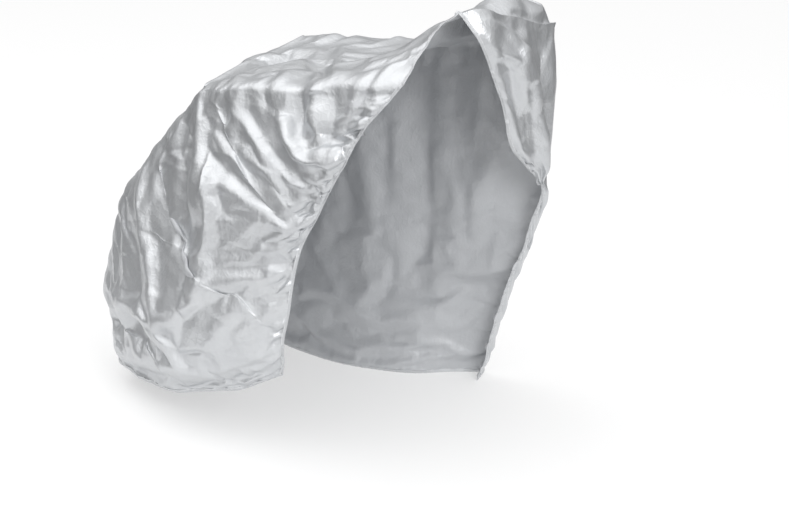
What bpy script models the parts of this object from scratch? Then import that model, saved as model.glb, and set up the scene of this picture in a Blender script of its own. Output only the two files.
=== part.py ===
"""Fitted bicycle cover in thin silver cloth, half drawn off and hanging in folds.

The cover is a hollow bag. Three cut panels are sewn along two shoulder seams: a near side panel, a strip
that runs over the top and down the tail, and a far side panel whose front flap turns round the high front
corner. One elastic band is sewn along the whole free edge.

Metres, +Z up. X runs from the tail to the open front, Y from the near side to the far side. The origin is
the floor point under the middle of the cover.
"""

import math
from collections import namedtuple

import bmesh
import bpy
import numpy as np

# Driving dimensions.
CLOTH_THICKNESS = 0.002
SEAM_GAP = 0.0003
BAND_WIDTH = 0.013
BAND_THICKNESS = 0.005
ORIGIN = np.array([0.2279, 0.1950, -0.0003])

# How finely each panel is divided.
COLUMNS = 27  # along a side panel, from its front edge to its tail
ROWS = 24  # up a side panel, from its hem to its shoulder seam
OPEN_COLUMNS = 4  # across the strip's free front edge
FLAP_COLUMNS = 6  # across the front flap
FLAP_CROWDING = 0.72  # keeps the first column of the flap's hem wider than the band
STRIP_HOLD = 5  # the strip is taut, so its high front edge shapes only its first part
CURVE_STEPS = 24  # between two stations of an edge

# Swells and folds fade out towards a panel's edges, over these shares of its length and of its width.
Fade = namedtuple("Fade", "along across")
SWELL_FADE = Fade(0.12, 0.12)
NEAR_FADE = Fade(0.10, 0.10)
STRIP_FADE = Fade(0.04, 0.15)
FAR_FADE = Fade(0.25, 0.10)
FLAP_FADE = Fade(0.20, 0.08)

CORNER_LIMIT = 0.35  # stops the band's mitre from running far out at a sharp corner
SHARP_ANGLE = math.radians(50)  # edges sharper than this stay crisp when the cloth is shaded

Point = namedtuple("Point", "x y z")

# The free edge and the seams, each as the few places that give its line its shape.
# Near side, front edge: from the low front corner up to the shoulder.
NEAR_FRONT = (
    Point(0.454, -0.070, 0.170),
    Point(0.501, -0.110, 0.271),
    Point(0.535, -0.125, 0.371),
    Point(0.556, -0.125, 0.473),
    Point(0.577, -0.115, 0.547),
    Point(0.616, -0.105, 0.624),
    Point(0.681, -0.090, 0.739),
    Point(0.739, -0.070, 0.838),
    Point(0.806, -0.030, 0.932),
)
# Near side, bottom hem: from the low front corner back to the tail.
NEAR_HEM = (
    Point(0.454, -0.070, 0.170),
    Point(0.417, -0.107, 0.150),
    Point(0.356, -0.123, 0.125),
    Point(0.245, -0.151, 0.095),
    Point(0.167, -0.164, 0.080),
    Point(0.000, -0.133, 0.060),
    Point(-0.137, -0.082, 0.055),
)
# Near shoulder seam along the top: from the open front back to the peak.
NEAR_SHOULDER = (
    Point(0.806, -0.030, 0.932),
    Point(0.732, -0.040, 0.926),
    Point(0.644, -0.050, 0.918),
    Point(0.512, -0.060, 0.887),
    Point(0.398, -0.070, 0.877),
    Point(0.273, -0.068, 0.851),
    Point(0.165, -0.040, 0.822),
)
# Near seam down the tail, listed from the hem up to the peak.
NEAR_TAIL = (
    Point(-0.137, -0.082, 0.055),
    Point(-0.163, -0.080, 0.119),
    Point(-0.220, -0.060, 0.222),
    Point(-0.187, -0.050, 0.362),
    Point(-0.149, -0.050, 0.476),
    Point(-0.087, -0.050, 0.554),
    Point(-0.039, -0.040, 0.613),
    Point(0.035, -0.030, 0.693),
    Point(0.092, -0.030, 0.753),
    Point(0.165, -0.040, 0.822),
)
# Free front edge of the strip, from the near shoulder up to where the flap starts.
STRIP_FRONT = (
    Point(0.806, -0.030, 0.932),
    Point(0.792, 0.040, 0.985),
    Point(0.778, 0.110, 1.030),
    Point(0.775, 0.178, 1.054),
)
# Seam between the strip and the flap, out to the pointed front corner.
FLAP_TOP = (
    Point(0.775, 0.178, 1.054),
    Point(0.798, 0.240, 1.055),
    Point(0.790, 0.322, 1.028),
    Point(0.780, 0.414, 0.998),
    Point(0.770, 0.490, 0.974),
    Point(0.755, 0.555, 0.968),
)
# Free edge of the flap, listed from the floor up to the strip.
FLAP_FRONT = (
    Point(0.530, 0.544, 0.000),
    Point(0.580, 0.560, 0.190),
    Point(0.628, 0.560, 0.320),
    Point(0.686, 0.550, 0.450),
    Point(0.750, 0.511, 0.583),
    Point(0.788, 0.357, 0.703),
    Point(0.805, 0.292, 0.838),
    Point(0.812, 0.252, 0.915),
    Point(0.812, 0.205, 0.985),
    Point(0.775, 0.178, 1.054),
)
# Fold where the far panel turns to become the flap, listed from the floor up to the front corner.
FLAP_FOLD = (
    Point(0.503, 0.602, 0.000),
    Point(0.574, 0.612, 0.218),
    Point(0.618, 0.602, 0.305),
    Point(0.672, 0.592, 0.429),
    Point(0.710, 0.582, 0.553),
    Point(0.733, 0.578, 0.670),
    Point(0.745, 0.575, 0.774),
    Point(0.752, 0.570, 0.874),
    Point(0.755, 0.555, 0.968),
)
# Far shoulder seam along the top: from the front corner back to the far peak.
FAR_SHOULDER = (
    Point(0.755, 0.555, 0.968),
    Point(0.690, 0.560, 0.960),
    Point(0.600, 0.525, 0.928),
    Point(0.450, 0.460, 0.900),
    Point(0.307, 0.415, 0.893),
    Point(0.200, 0.385, 0.888),
    Point(0.110, 0.355, 0.868),
)
# Far seam down the tail, listed from the hem up to the far peak.
FAR_TAIL = (
    Point(-0.300, 0.350, 0.000),
    Point(-0.360, 0.345, 0.130),
    Point(-0.385, 0.335, 0.300),
    Point(-0.330, 0.325, 0.480),
    Point(-0.225, 0.320, 0.640),
    Point(-0.110, 0.325, 0.765),
    Point(-0.003, 0.340, 0.822),
    Point(0.110, 0.355, 0.868),
)
# Far side, bottom hem on the floor: from the fold back to the tail.
FAR_HEM = (
    Point(0.503, 0.602, 0.000),
    Point(0.440, 0.545, 0.000),
    Point(0.360, 0.460, 0.000),
    Point(0.200, 0.395, 0.000),
    Point(0.050, 0.385, 0.000),
    Point(-0.120, 0.395, 0.000),
    Point(-0.300, 0.350, 0.000),
)
# Hem across the tail, from the near seam to the far seam.
TAIL_HEM = (
    Point(-0.137, -0.082, 0.055),
    Point(-0.215, 0.030, 0.050),
    Point(-0.255, 0.150, 0.030),
    Point(-0.280, 0.260, 0.010),
    Point(-0.300, 0.350, 0.000),
)

# A swell pushes part of a panel out (or in, below zero). Its centre and reach are shares of the panel's
# length from the front and of its height from the hem; on the strip, of its length and of its width.
Swell = namedtuple("Swell", "along across reach_along reach_across out")

NEAR_SWELLS = (
    Swell(0.45, 0.22, 0.50, 0.28, 0.045),
    Swell(0.30, 0.60, 0.45, 0.35, 0.020),
    Swell(0.80, 0.45, 0.25, 0.35, 0.015),
)
STRIP_SWELLS = (
    Swell(0.045, 0.70, 0.080, 0.34, 0.042),  # lifted behind the high front edge
    Swell(0.16, 0.45, 0.110, 0.40, -0.022),
    Swell(0.30, 0.45, 0.120, 0.36, -0.012),
    Swell(0.44, 0.50, 0.080, 0.22, -0.028),  # sag between the two peaks
    Swell(0.70, 0.50, 0.200, 0.30, -0.030),  # hollow between the two humps of the tail
)
FAR_SWELLS = (
    Swell(0.50, 0.40, 0.45, 0.40, 0.030),
)
FLAP_SWELLS = (
    Swell(0.50, 0.72, 0.45, 0.30, 0.022),
)

# A fold runs through up to three places, given by their x and z on a side panel. It stands out by its
# height, or is drawn in where that is below zero, and it fades over its width.
Fold = namedtuple("Fold", "x0 z0 x1 z1 x2 z2 width height")

NEAR_FOLDS = (
    Fold(0.185, 0.807, 0.236, 0.666, 0.279, 0.445, 0.030, 0.020),  # main ridge hanging from the peak
    Fold(0.067, 0.600, 0.142, 0.524, 0.256, 0.454, 0.045, -0.040),  # deep pocket beside it
    Fold(0.293, 0.836, 0.434, 0.721, 0.569, 0.591, 0.028, 0.016),  # second ridge, to the front edge
    Fold(0.250, 0.802, 0.360, 0.707, 0.556, 0.576, 0.030, -0.014),  # trough between the two ridges
    Fold(0.021, 0.469, 0.254, 0.421, 0.383, 0.391, 0.026, -0.016),  # slanting crease
    Fold(0.013, 0.525, 0.067, 0.410, 0.188, 0.302, 0.030, 0.018),  # upright ridge near the tail
    Fold(-0.113, 0.450, -0.013, 0.384, -0.046, 0.290, 0.035, -0.014),  # hollow behind it
    Fold(-0.171, 0.229, 0.085, 0.248, 0.209, 0.189, 0.028, 0.018),  # lip above the low pocket
    Fold(-0.027, 0.190, 0.100, 0.200, 0.190, 0.165, 0.024, -0.018),  # low pocket
    Fold(-0.093, 0.118, 0.258, 0.173, 0.437, 0.211, 0.028, 0.016),  # long low fold
    Fold(0.270, 0.118, 0.362, 0.140, 0.434, 0.180, 0.022, -0.012),  # hollow under it
    Fold(0.410, 0.405, 0.472, 0.333, 0.505, 0.300, 0.022, -0.010),  # crease to the low front corner
    Fold(0.331, 0.407, 0.419, 0.422, 0.531, 0.453, 0.022, 0.008),  # stretch line to the band
    Fold(0.472, 0.785, 0.549, 0.735, 0.656, 0.739, 0.030, 0.024),  # rolled fold
    Fold(0.525, 0.874, 0.583, 0.790, 0.681, 0.800, 0.028, -0.016),  # trough above the roll
    Fold(0.468, 0.736, 0.543, 0.681, 0.624, 0.673, 0.026, -0.012),  # trough below the roll
)
FAR_FOLDS = (
    Fold(0.100, 0.840, 0.060, 0.560, 0.020, 0.250, 0.050, 0.014),
    Fold(0.230, 0.840, 0.260, 0.520, 0.230, 0.160, 0.045, -0.014),
    Fold(0.400, 0.860, 0.420, 0.560, 0.400, 0.220, 0.050, 0.014),
    Fold(0.560, 0.880, 0.560, 0.600, 0.520, 0.300, 0.040, -0.012),
    Fold(-0.080, 0.740, -0.160, 0.480, -0.180, 0.200, 0.050, -0.014),
)
# On the flap the folds run nearly upright and are given by their y and z.
FLAP_FOLDS = (
    Fold(0.330, 1.000, 0.390, 0.880, 0.500, 0.640, 0.030, 0.014),
    Fold(0.470, 0.960, 0.480, 0.820, 0.545, 0.600, 0.026, -0.014),
    Fold(0.265, 0.960, 0.310, 0.860, 0.380, 0.720, 0.026, -0.012),
)


def along_curve(stations, count, crowding=1.0):
    """Returns count + 1 points along a smooth line through the stations.

    They are evenly spaced, or closer towards the end where crowding is below one.
    """
    knots = np.array(stations, float)
    ends = np.vstack([2 * knots[0] - knots[1], knots, 2 * knots[-1] - knots[-2]])
    dense = []
    for p0, p1, p2, p3 in zip(ends, ends[1:], ends[2:], ends[3:]):
        for t in np.linspace(0.0, 1.0, CURVE_STEPS, endpoint=False):
            dense.append(
                0.5 * (2 * p1 + (p2 - p0) * t + (2 * p0 - 5 * p1 + 4 * p2 - p3) * t**2
                       + (3 * p1 - p0 - 3 * p2 + p3) * t**3)
            )
    dense = np.array(dense + [knots[-1]])
    run = np.concatenate([[0], np.cumsum(np.linalg.norm(np.diff(dense, axis=0), axis=1))])
    at = run[-1] * np.linspace(0, 1, count + 1) ** crowding
    return np.stack([np.interp(at, run, dense[:, k]) for k in range(3)], axis=1)


def stretched(bottom, top, front, back, hold=1):
    """Returns the grid of points of a cloth stretched between its four edges.

    bottom and top run from the front to the back, and front and back run from the bottom to the top. The
    higher hold is, the sooner the bends of the front and the back edge die out across the cloth.
    """
    s = np.linspace(0, 1, len(bottom))[:, None, None]
    t = np.linspace(0, 1, len(front))[None, :, None]
    grid = (1 - t) * bottom[:, None] + t * top[:, None]
    grid = grid + (1 - s) ** hold * (front - (1 - t) * bottom[0] - t * top[0])
    return grid + s**hold * (back - (1 - t) * bottom[-1] - t * top[-1])


def weld(panels):
    """Returns the points of all panels with those on a seam merged, and each panel's grid of indices."""
    points, found, grids = [], {}, []
    for grid in panels:
        index = np.zeros(grid.shape[:2], int)
        for place in np.ndindex(index.shape):
            key = tuple(np.round(grid[place], 5))
            if key not in found:
                found[key] = len(points)
                points.append(grid[place])
            index[place] = found[key]
        grids.append(index)
    return np.array(points), grids


def split_quads(points, index, flipped):
    """Returns a grid's triangles, each four-sided cell cut along its shorter diagonal."""
    triangles = []
    for i in range(index.shape[0] - 1):
        for j in range(index.shape[1] - 1):
            a, b, c, d = index[i, j], index[i + 1, j], index[i + 1, j + 1], index[i, j + 1]
            if np.linalg.norm(points[a] - points[c]) <= np.linalg.norm(points[b] - points[d]):
                cell = [(a, b, c), (a, c, d)]
            else:
                cell = [(a, b, d), (b, c, d)]
            triangles += [t[::-1] for t in cell] if flipped else cell
    return triangles


def smooth_normals(points, triangles):
    """Returns the outward direction of the cloth at each point."""
    total = np.zeros_like(points)
    for a, b, c in triangles:
        face = np.cross(points[b] - points[a], points[c] - points[a])
        for corner in (a, b, c):
            total[corner] += face
    return total / np.maximum(np.linalg.norm(total, axis=1), 1e-12)[:, None]


def inset_line(line, normals, closed):
    """Returns, for each point of a line, the way in across the cloth, lengthened at corners.

    Moving every point by one distance along it gives a parallel line on the cloth.
    """
    before = np.roll(line, 1, axis=0)
    after = np.roll(line, -1, axis=0)
    if not closed:
        before[0] = 2 * line[0] - line[1]
        after[-1] = 2 * line[-1] - line[-2]
    inward = []
    for p, a, b, n in zip(line, before, after, normals):
        first, second = np.cross(n, p - a), np.cross(n, b - p)
        first, second = first / np.linalg.norm(first), second / np.linalg.norm(second)
        inward.append((first + second) / max(1 + first @ second, CORNER_LIMIT))
    return np.array(inward)


def swell_at(s, t, swells):
    """Returns how far a panel stands out at one place on it, given as two shares."""
    total = 0.0
    for w in swells:
        far = math.hypot((s - w.along) / w.reach_along, (t - w.across) / w.reach_across)
        if far < 1:
            total += w.out * (1 - far * far) ** 2
    return total


def fold_at(a, z, folds):
    """Returns the height of the folds at one place on a side panel or the flap."""
    total = 0.0
    for f in folds:
        reach = math.inf
        for p, q in (((f.x0, f.z0), (f.x1, f.z1)), ((f.x1, f.z1), (f.x2, f.z2))):
            run = (q[0] - p[0], q[1] - p[1])
            share = ((a - p[0]) * run[0] + (z - p[1]) * run[1]) / (run[0] ** 2 + run[1] ** 2)
            share = min(max(share, 0.0), 1.0)
            reach = min(reach, math.hypot(a - p[0] - share * run[0], z - p[1] - share * run[1]))
        total += f.height * math.exp(-((reach / f.width) ** 2))
    return total


def edge_fade(s, t, fade):
    """Returns 0 on the edges of a panel and 1 in its middle, rising smoothly between them."""
    total = 1.0
    for share, width in ((s, fade.along), (t, fade.across)):
        x = min(min(share, 1 - share) / width, 1.0)
        total *= x * x * (3 - 2 * x)
    return total


def shape_panels(edges):
    """Returns the near, strip and far grids of the cloth stretched between the edges, with no relief."""
    near = stretched(edges["near_hem"], edges["near_shoulder"], edges["near_front"], edges["near_tail"])
    # The strip's own front edge is the free edge and the flap's seam, and it ends at the tail's hem.
    strip_near = np.vstack([edges["near_shoulder"], edges["near_tail"][::-1][1:]])
    strip_far = np.vstack([edges["far_shoulder"], edges["far_tail"][::-1][1:]])
    strip_front = np.vstack([edges["strip_front"], edges["flap_top"][1:]])
    strip = stretched(strip_near, strip_far, strip_front, edges["tail_hem"], STRIP_HOLD)
    flap = stretched(edges["flap_hem"], edges["flap_top"], edges["flap_front"], edges["flap_fold"])
    side = stretched(edges["far_hem"], edges["far_shoulder"], edges["flap_fold"], edges["far_tail"])
    far = np.vstack([flap, side[1:]])
    return [near, strip, far]


def relief(points, grids):
    """Returns how far each point of the cloth stands out along its normal, from the swells and folds."""
    near, strip, far = grids
    place = points + ORIGIN
    height = np.zeros(len(points))
    for (i, j), k in np.ndenumerate(near):
        s, t = i / COLUMNS, j / ROWS
        height[k] = swell_at(s, t, NEAR_SWELLS) * edge_fade(s, t, SWELL_FADE)
        height[k] += fold_at(place[k][0], place[k][2], NEAR_FOLDS) * edge_fade(s, t, NEAR_FADE)
    for (i, j), k in np.ndenumerate(strip):
        s, t = i / (COLUMNS + ROWS), j / (OPEN_COLUMNS + FLAP_COLUMNS)
        height[k] = swell_at(s, t, STRIP_SWELLS) * edge_fade(s, t, STRIP_FADE)
    for (i, j), k in np.ndenumerate(far):
        t = j / ROWS
        if i < FLAP_COLUMNS:
            s = i / FLAP_COLUMNS
            height[k] = swell_at(s, t, FLAP_SWELLS) + fold_at(place[k][1], place[k][2], FLAP_FOLDS)
            height[k] *= edge_fade(s, t, FLAP_FADE)
        else:
            s = (i - FLAP_COLUMNS) / COLUMNS
            height[k] = swell_at(s, t, FAR_SWELLS) + fold_at(place[k][0], place[k][2], FAR_FOLDS)
            height[k] *= edge_fade(s, t, FAR_FADE)
    return height


def edge_lines():
    """Returns every edge of the panels as evenly spaced points."""
    lines = {
        "near_front": along_curve(NEAR_FRONT, ROWS),
        "near_hem": along_curve(NEAR_HEM, COLUMNS),
        "near_shoulder": along_curve(NEAR_SHOULDER, COLUMNS),
        "near_tail": along_curve(NEAR_TAIL, ROWS),
        "strip_front": along_curve(STRIP_FRONT, OPEN_COLUMNS),
        "flap_top": along_curve(FLAP_TOP, FLAP_COLUMNS),
        "flap_front": along_curve(FLAP_FRONT, ROWS),
        "flap_fold": along_curve(FLAP_FOLD, ROWS),
        "flap_hem": along_curve((FLAP_FRONT[0], FLAP_FOLD[0]), FLAP_COLUMNS, FLAP_CROWDING),
        "far_shoulder": along_curve(FAR_SHOULDER, COLUMNS),
        "far_tail": along_curve(FAR_TAIL, ROWS),
        "far_hem": along_curve(FAR_HEM, COLUMNS),
        "tail_hem": along_curve(TAIL_HEM, OPEN_COLUMNS + FLAP_COLUMNS),
    }
    return {name: line - ORIGIN for name, line in lines.items()}


def free_edge(grids):
    """Returns the indices of the points round the cover's free edge, once round without a repeat."""
    near, strip, far = grids
    turn = OPEN_COLUMNS
    runs = (near[0, :], strip[0, :turn + 1], far[0, ::-1], far[:, 0], strip[-1, ::-1], near[::-1, 0])
    loop = [k for run in runs for k in run[:-1]]
    return np.array(loop)


def seam_lines(grids):
    """Returns the indices of the points along the near and the far shoulder seam, front to tail."""
    near, _, far = grids
    near_seam = np.concatenate([near[:, -1], near[-1, -2::-1]])
    far_seam = np.concatenate([far[:, -1], far[-1, -2::-1]])
    return near_seam, far_seam


def cloth_solid(name, points, normals, index, flipped, shift, material):
    """Makes one panel: a closed sheet of the cloth's thickness, its edges cut square to the cloth.

    shift moves single points a little across the cloth, which parts the panels at their seams.
    """
    triangles = split_quads(points, index, flipped)
    used = sorted({k for t in triangles for k in t})
    moved = {k: points[k] + shift.get(k, 0) for k in used}
    half = CLOTH_THICKNESS / 2
    bm = bmesh.new()
    outer = {k: bm.verts.new(moved[k] + half * normals[k]) for k in used}
    inner = {k: bm.verts.new(moved[k] - half * normals[k]) for k in used}
    edges = set()
    for a, b, c in triangles:
        bm.faces.new((outer[a], outer[b], outer[c]))
        bm.faces.new((inner[c], inner[b], inner[a]))
        edges |= {(a, b), (b, c), (c, a)}
    for a, b in sorted(edges):
        if (b, a) not in edges:
            join_edge(bm, (outer[b], inner[b]), (outer[a], inner[a]), b < a)
    return finish_object(name, bm, material)


def join_edge(bm, first, second, from_first):
    """Closes a square edge between two pairs of points (outer, inner), cut along the stated diagonal."""
    if from_first:
        bm.faces.new((first[0], second[0], second[1]))
        bm.faces.new((first[0], second[1], first[1]))
    else:
        bm.faces.new((first[0], second[0], first[1]))
        bm.faces.new((second[0], second[1], first[1]))


def band_solid(name, line, inward, normals, order, material):
    """Makes the elastic band: one closed ring of a low rounded section along the free edge.

    order holds the panel's own index of each place, so that both cut their facing sides alike.
    """
    half, cloth = BAND_THICKNESS / 2, CLOTH_THICKNESS / 2
    # Across the band: how far in from the free edge, and how far out of the cloth.
    section = ((BAND_WIDTH, cloth), (0.5 * BAND_WIDTH, half), (0.0, cloth))
    section += tuple((a, -b) for a, b in section[::-1])
    bm = bmesh.new()
    rings = []
    for p, way, n in zip(line, inward, normals):
        rings.append([bm.verts.new(p + a * way + b * n) for a, b in section])
    sides = len(section)
    for i, ring in enumerate(rings):
        j = (i + 1) % len(rings)
        for k in range(sides):
            near_pair = (ring[(k + 1) % sides], ring[k])
            next_pair = (rings[j][(k + 1) % sides], rings[j][k])
            # The facing side lies between the last and the first point of the section.
            from_near = order[i] < order[j] if k == sides - 1 else True
            join_edge(bm, near_pair, next_pair, from_near)
    return finish_object(name, bm, material)


def finish_object(name, bm, material):
    """Turns a bmesh into a named, smooth-shaded object with its material."""
    bmesh.ops.recalc_face_normals(bm, faces=bm.faces)
    mesh = bpy.data.meshes.new(name)
    bm.to_mesh(mesh)
    bm.free()
    mesh.materials.append(material)
    mesh.shade_smooth()
    mesh.set_sharp_from_angle(angle=SHARP_ANGLE)
    made = bpy.data.objects.new(name, mesh)
    bpy.context.collection.objects.link(made)
    return made


def make_material(name, colour, roughness, metallic):
    """Returns a Principled material."""
    material = bpy.data.materials.new(name)
    material.use_nodes = True
    shader = material.node_tree.nodes["Principled BSDF"]
    shader.inputs["Base Color"].default_value = (*colour, 1.0)
    shader.inputs["Roughness"].default_value = roughness
    shader.inputs["Metallic"].default_value = metallic
    return material


def main():
    """Builds the cover."""
    for old in list(bpy.data.objects):
        bpy.data.objects.remove(old, do_unlink=True)
    edges = edge_lines()
    points, grids = weld(shape_panels(edges))
    flips = (True, True, False)

    def outward(at):
        return smooth_normals(at, [t for g, f in zip(grids, flips) for t in split_quads(at, g, f)])

    # The band lies along the free edge, and the panels start just inside it.
    loop = free_edge(grids)
    line, loop_normals = points[loop], outward(points)[loop]
    inward = inset_line(line, loop_normals, closed=True)
    step_in = {tuple(np.round(p, 5)): (BAND_WIDTH + SEAM_GAP) * way for p, way in zip(line, inward)}
    for name, edge in edges.items():
        edges[name] = np.array([p + step_in.get(tuple(np.round(p, 5)), 0) for p in edge])
    for grid, index in zip(shape_panels(edges), grids):
        points[index] = grid
    points += relief(points, grids)[:, None] * outward(points)
    normals = outward(points)
    normals[loop] = loop_normals

    # Half the seam's gap is taken off either side of it.
    near_seam, far_seam = seam_lines(grids)
    near_side = inset_line(points[near_seam], normals[near_seam], closed=False) * SEAM_GAP / 2
    far_side = inset_line(points[far_seam], normals[far_seam], closed=False) * SEAM_GAP / 2
    near_shift = dict(zip(near_seam, near_side))
    far_shift = dict(zip(far_seam, -far_side))
    strip_shift = dict(zip(near_seam, -near_side)) | dict(zip(far_seam, far_side))

    cloth = make_material("silver_cloth", (0.62, 0.63, 0.64), 0.42, 0.35)
    band = make_material("silver_band", (0.70, 0.70, 0.71), 0.50, 0.20)
    cloth_solid("near_side_panel", points, normals, grids[0], flips[0], near_shift, cloth)
    cloth_solid("top_and_tail_strip", points, normals, grids[1], flips[1], strip_shift, cloth)
    cloth_solid("far_side_panel", points, normals, grids[2], flips[2], far_shift, cloth)
    band_solid("elastic_band", line, inward, loop_normals, loop, band)


main()
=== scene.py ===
"""Looks of the fitted bicycle cover: thin silver-coated cloth, half drawn off and hanging in folds.

Three cut panels are sewn along two shoulder seams and edged with one gathered elastic band. Each panel is a
sheet laid over the solid's main folds, then settled as cloth, gathered at the band and creased in its own
finer sizes.

Metres, +Z up. X runs from the tail to the open front, Y from the near side to the far side. The tables of
edges and folds are measured from the floor point under the tail, and ORIGIN brings them to the frame.
"""

import logging
import math
from dataclasses import dataclass
from enum import Enum
from typing import NamedTuple

import bpy
import numpy as np
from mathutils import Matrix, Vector, noise
from mathutils.bvhtree import BVHTree
from mathutils.geometry import delaunay_2d_cdt


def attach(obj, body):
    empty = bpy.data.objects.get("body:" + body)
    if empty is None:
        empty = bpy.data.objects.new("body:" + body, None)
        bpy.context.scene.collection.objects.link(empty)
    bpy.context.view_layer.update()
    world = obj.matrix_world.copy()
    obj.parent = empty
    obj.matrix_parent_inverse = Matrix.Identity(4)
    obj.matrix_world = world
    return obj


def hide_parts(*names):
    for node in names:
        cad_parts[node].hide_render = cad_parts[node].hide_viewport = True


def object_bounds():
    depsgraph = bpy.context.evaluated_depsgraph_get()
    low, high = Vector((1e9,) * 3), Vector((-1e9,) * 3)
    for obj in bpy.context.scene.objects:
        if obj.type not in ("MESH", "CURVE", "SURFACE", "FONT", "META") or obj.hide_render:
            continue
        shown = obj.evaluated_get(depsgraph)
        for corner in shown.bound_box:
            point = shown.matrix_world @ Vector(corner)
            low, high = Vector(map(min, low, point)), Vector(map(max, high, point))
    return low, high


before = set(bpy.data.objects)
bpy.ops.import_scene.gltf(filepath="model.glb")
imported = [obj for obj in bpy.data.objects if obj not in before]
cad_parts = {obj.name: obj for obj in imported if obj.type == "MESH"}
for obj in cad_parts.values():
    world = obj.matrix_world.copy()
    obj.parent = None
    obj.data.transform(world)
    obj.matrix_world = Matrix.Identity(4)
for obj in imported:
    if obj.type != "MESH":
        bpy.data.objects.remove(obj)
CAD_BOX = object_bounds()

LOG = logging.getLogger("cover")
ORIGIN = np.array([0.2279, 0.1950, -0.0003])
SHEET_THICKNESS = 0.0006
WANDER_SEED = 11
RIM_ANGLE = math.radians(75.0)  # a sheet turns by more than this only round its cut edge
BAND_WIDTH = 0.011
BAND_THICKNESS = 0.0036
STRIP_HOLD = 5  # the strip is taut, so its high front edge shapes only its first part
CURVE_STEPS = 24  # between two stations of an edge
MILLIMETRE = 0.001
TENT_REACH = 1.9  # how far a tent's sides run out, in the fold's widths
EDGE_CALM = 0.004  # the band holds this much of the cloth's edge still
SEAM_CALM = 0.014  # the seams' double cloth stays smooth this far
FLAT_ON_FLOOR = 0.05  # cloth this near the floor doesn't wander
# The slow field that the cloth wanders by: the size of its lumps and how far it moves a place.
WANDERING = ((0.11, 0.006), (0.040, 0.0016))
SEAM_ROWS = 10  # rows of cells on each side of a seam that turn round it
SEAM_PASSES = 50
TURN_COLUMNS = 12.0  # the far panel's relief fades over these columns where it turns to the flap
# The solid's own cells, which place its swells on the strip.
SOLID_COLUMNS = 27
SOLID_ROWS = 24
SOLID_OPEN_COLUMNS = 4
SOLID_FLAP_COLUMNS = 6
# Where creases point away from: the two peaks, the high front corner, and the hump of the tail.
NEAR_PEAK = (0.165, 0.822)
FLAP_CORNER = (0.555, 0.968)
FAR_CORNER = (0.60, 1.00)
TAIL_HUMP = (0.15, 0.64)
# How tightly the elastic draws up the near side's front edge: shares of the way up, and the tightness there.
NEAR_TIGHTNESS = (
    (0.0, 0.45), (0.20, 0.60), (0.34, 1.00), (0.42, 0.90), (0.50, 1.50), (0.60, 1.70), (0.68, 1.50),
    (0.74, 0.80), (0.82, 1.40), (0.90, 1.70), (1.0, 0.90),
)


# ----------------------------------------
# The cover's edges, each as the few places that give its line its shape.


class Station(NamedTuple):
    """A place that an edge of the cloth runs through."""

    x: float
    y: float
    z: float


def through(*rows: tuple[float, float, float]) -> tuple[Station, ...]:
    """Returns the stations of a line, one for each row of x, y and z."""
    return tuple(Station(*row) for row in rows)


# Near side, front edge: from the low front corner up to the shoulder.
NEAR_FRONT = through(
    (0.454, -0.070, 0.170),
    (0.501, -0.110, 0.271),
    (0.535, -0.125, 0.371),
    (0.556, -0.125, 0.473),
    (0.577, -0.115, 0.547),
    (0.616, -0.105, 0.624),
    (0.681, -0.090, 0.739),
    (0.739, -0.070, 0.838),
    (0.806, -0.030, 0.932),
)
# Near side, bottom hem: from the low front corner back to the tail.
NEAR_HEM = through(
    (0.454, -0.070, 0.170),
    (0.417, -0.107, 0.150),
    (0.356, -0.123, 0.125),
    (0.245, -0.151, 0.095),
    (0.167, -0.164, 0.080),
    (0.000, -0.133, 0.060),
    (-0.137, -0.082, 0.055),
)
# Near shoulder seam along the top: from the open front back to the peak.
NEAR_SHOULDER = through(
    (0.806, -0.030, 0.932),
    (0.732, -0.040, 0.926),
    (0.644, -0.050, 0.918),
    (0.512, -0.060, 0.887),
    (0.398, -0.070, 0.877),
    (0.273, -0.068, 0.851),
    (0.165, -0.040, 0.822),
)
# Near seam down the tail, listed from the hem up to the peak.
NEAR_TAIL = through(
    (-0.137, -0.082, 0.055),
    (-0.163, -0.080, 0.119),
    (-0.220, -0.060, 0.222),
    (-0.187, -0.050, 0.362),
    (-0.149, -0.050, 0.476),
    (-0.087, -0.050, 0.554),
    (-0.039, -0.040, 0.613),
    (0.035, -0.030, 0.693),
    (0.092, -0.030, 0.753),
    (0.165, -0.040, 0.822),
)
# Free front edge of the strip, from the near shoulder up to where the flap starts.
STRIP_FRONT = through(
    (0.806, -0.030, 0.932),
    (0.792, 0.040, 0.985),
    (0.778, 0.110, 1.030),
    (0.775, 0.178, 1.054),
)
# Seam between the strip and the flap, out to the pointed front corner.
FLAP_TOP = through(
    (0.775, 0.178, 1.054),
    (0.798, 0.240, 1.055),
    (0.790, 0.322, 1.028),
    (0.780, 0.414, 0.998),
    (0.770, 0.490, 0.974),
    (0.755, 0.555, 0.968),
)
# Free edge of the flap, listed from the floor up to the strip.
FLAP_FRONT = through(
    (0.530, 0.544, 0.000),
    (0.580, 0.560, 0.190),
    (0.628, 0.560, 0.320),
    (0.686, 0.550, 0.450),
    (0.750, 0.511, 0.583),
    (0.788, 0.357, 0.703),
    (0.805, 0.292, 0.838),
    (0.812, 0.252, 0.915),
    (0.812, 0.205, 0.985),
    (0.775, 0.178, 1.054),
)
# Fold where the far panel turns to become the flap, listed from the floor up to the front corner.
FLAP_FOLD = through(
    (0.503, 0.602, 0.000),
    (0.574, 0.612, 0.218),
    (0.618, 0.602, 0.305),
    (0.672, 0.592, 0.429),
    (0.710, 0.582, 0.553),
    (0.733, 0.578, 0.670),
    (0.745, 0.575, 0.774),
    (0.752, 0.570, 0.874),
    (0.755, 0.555, 0.968),
)
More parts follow.
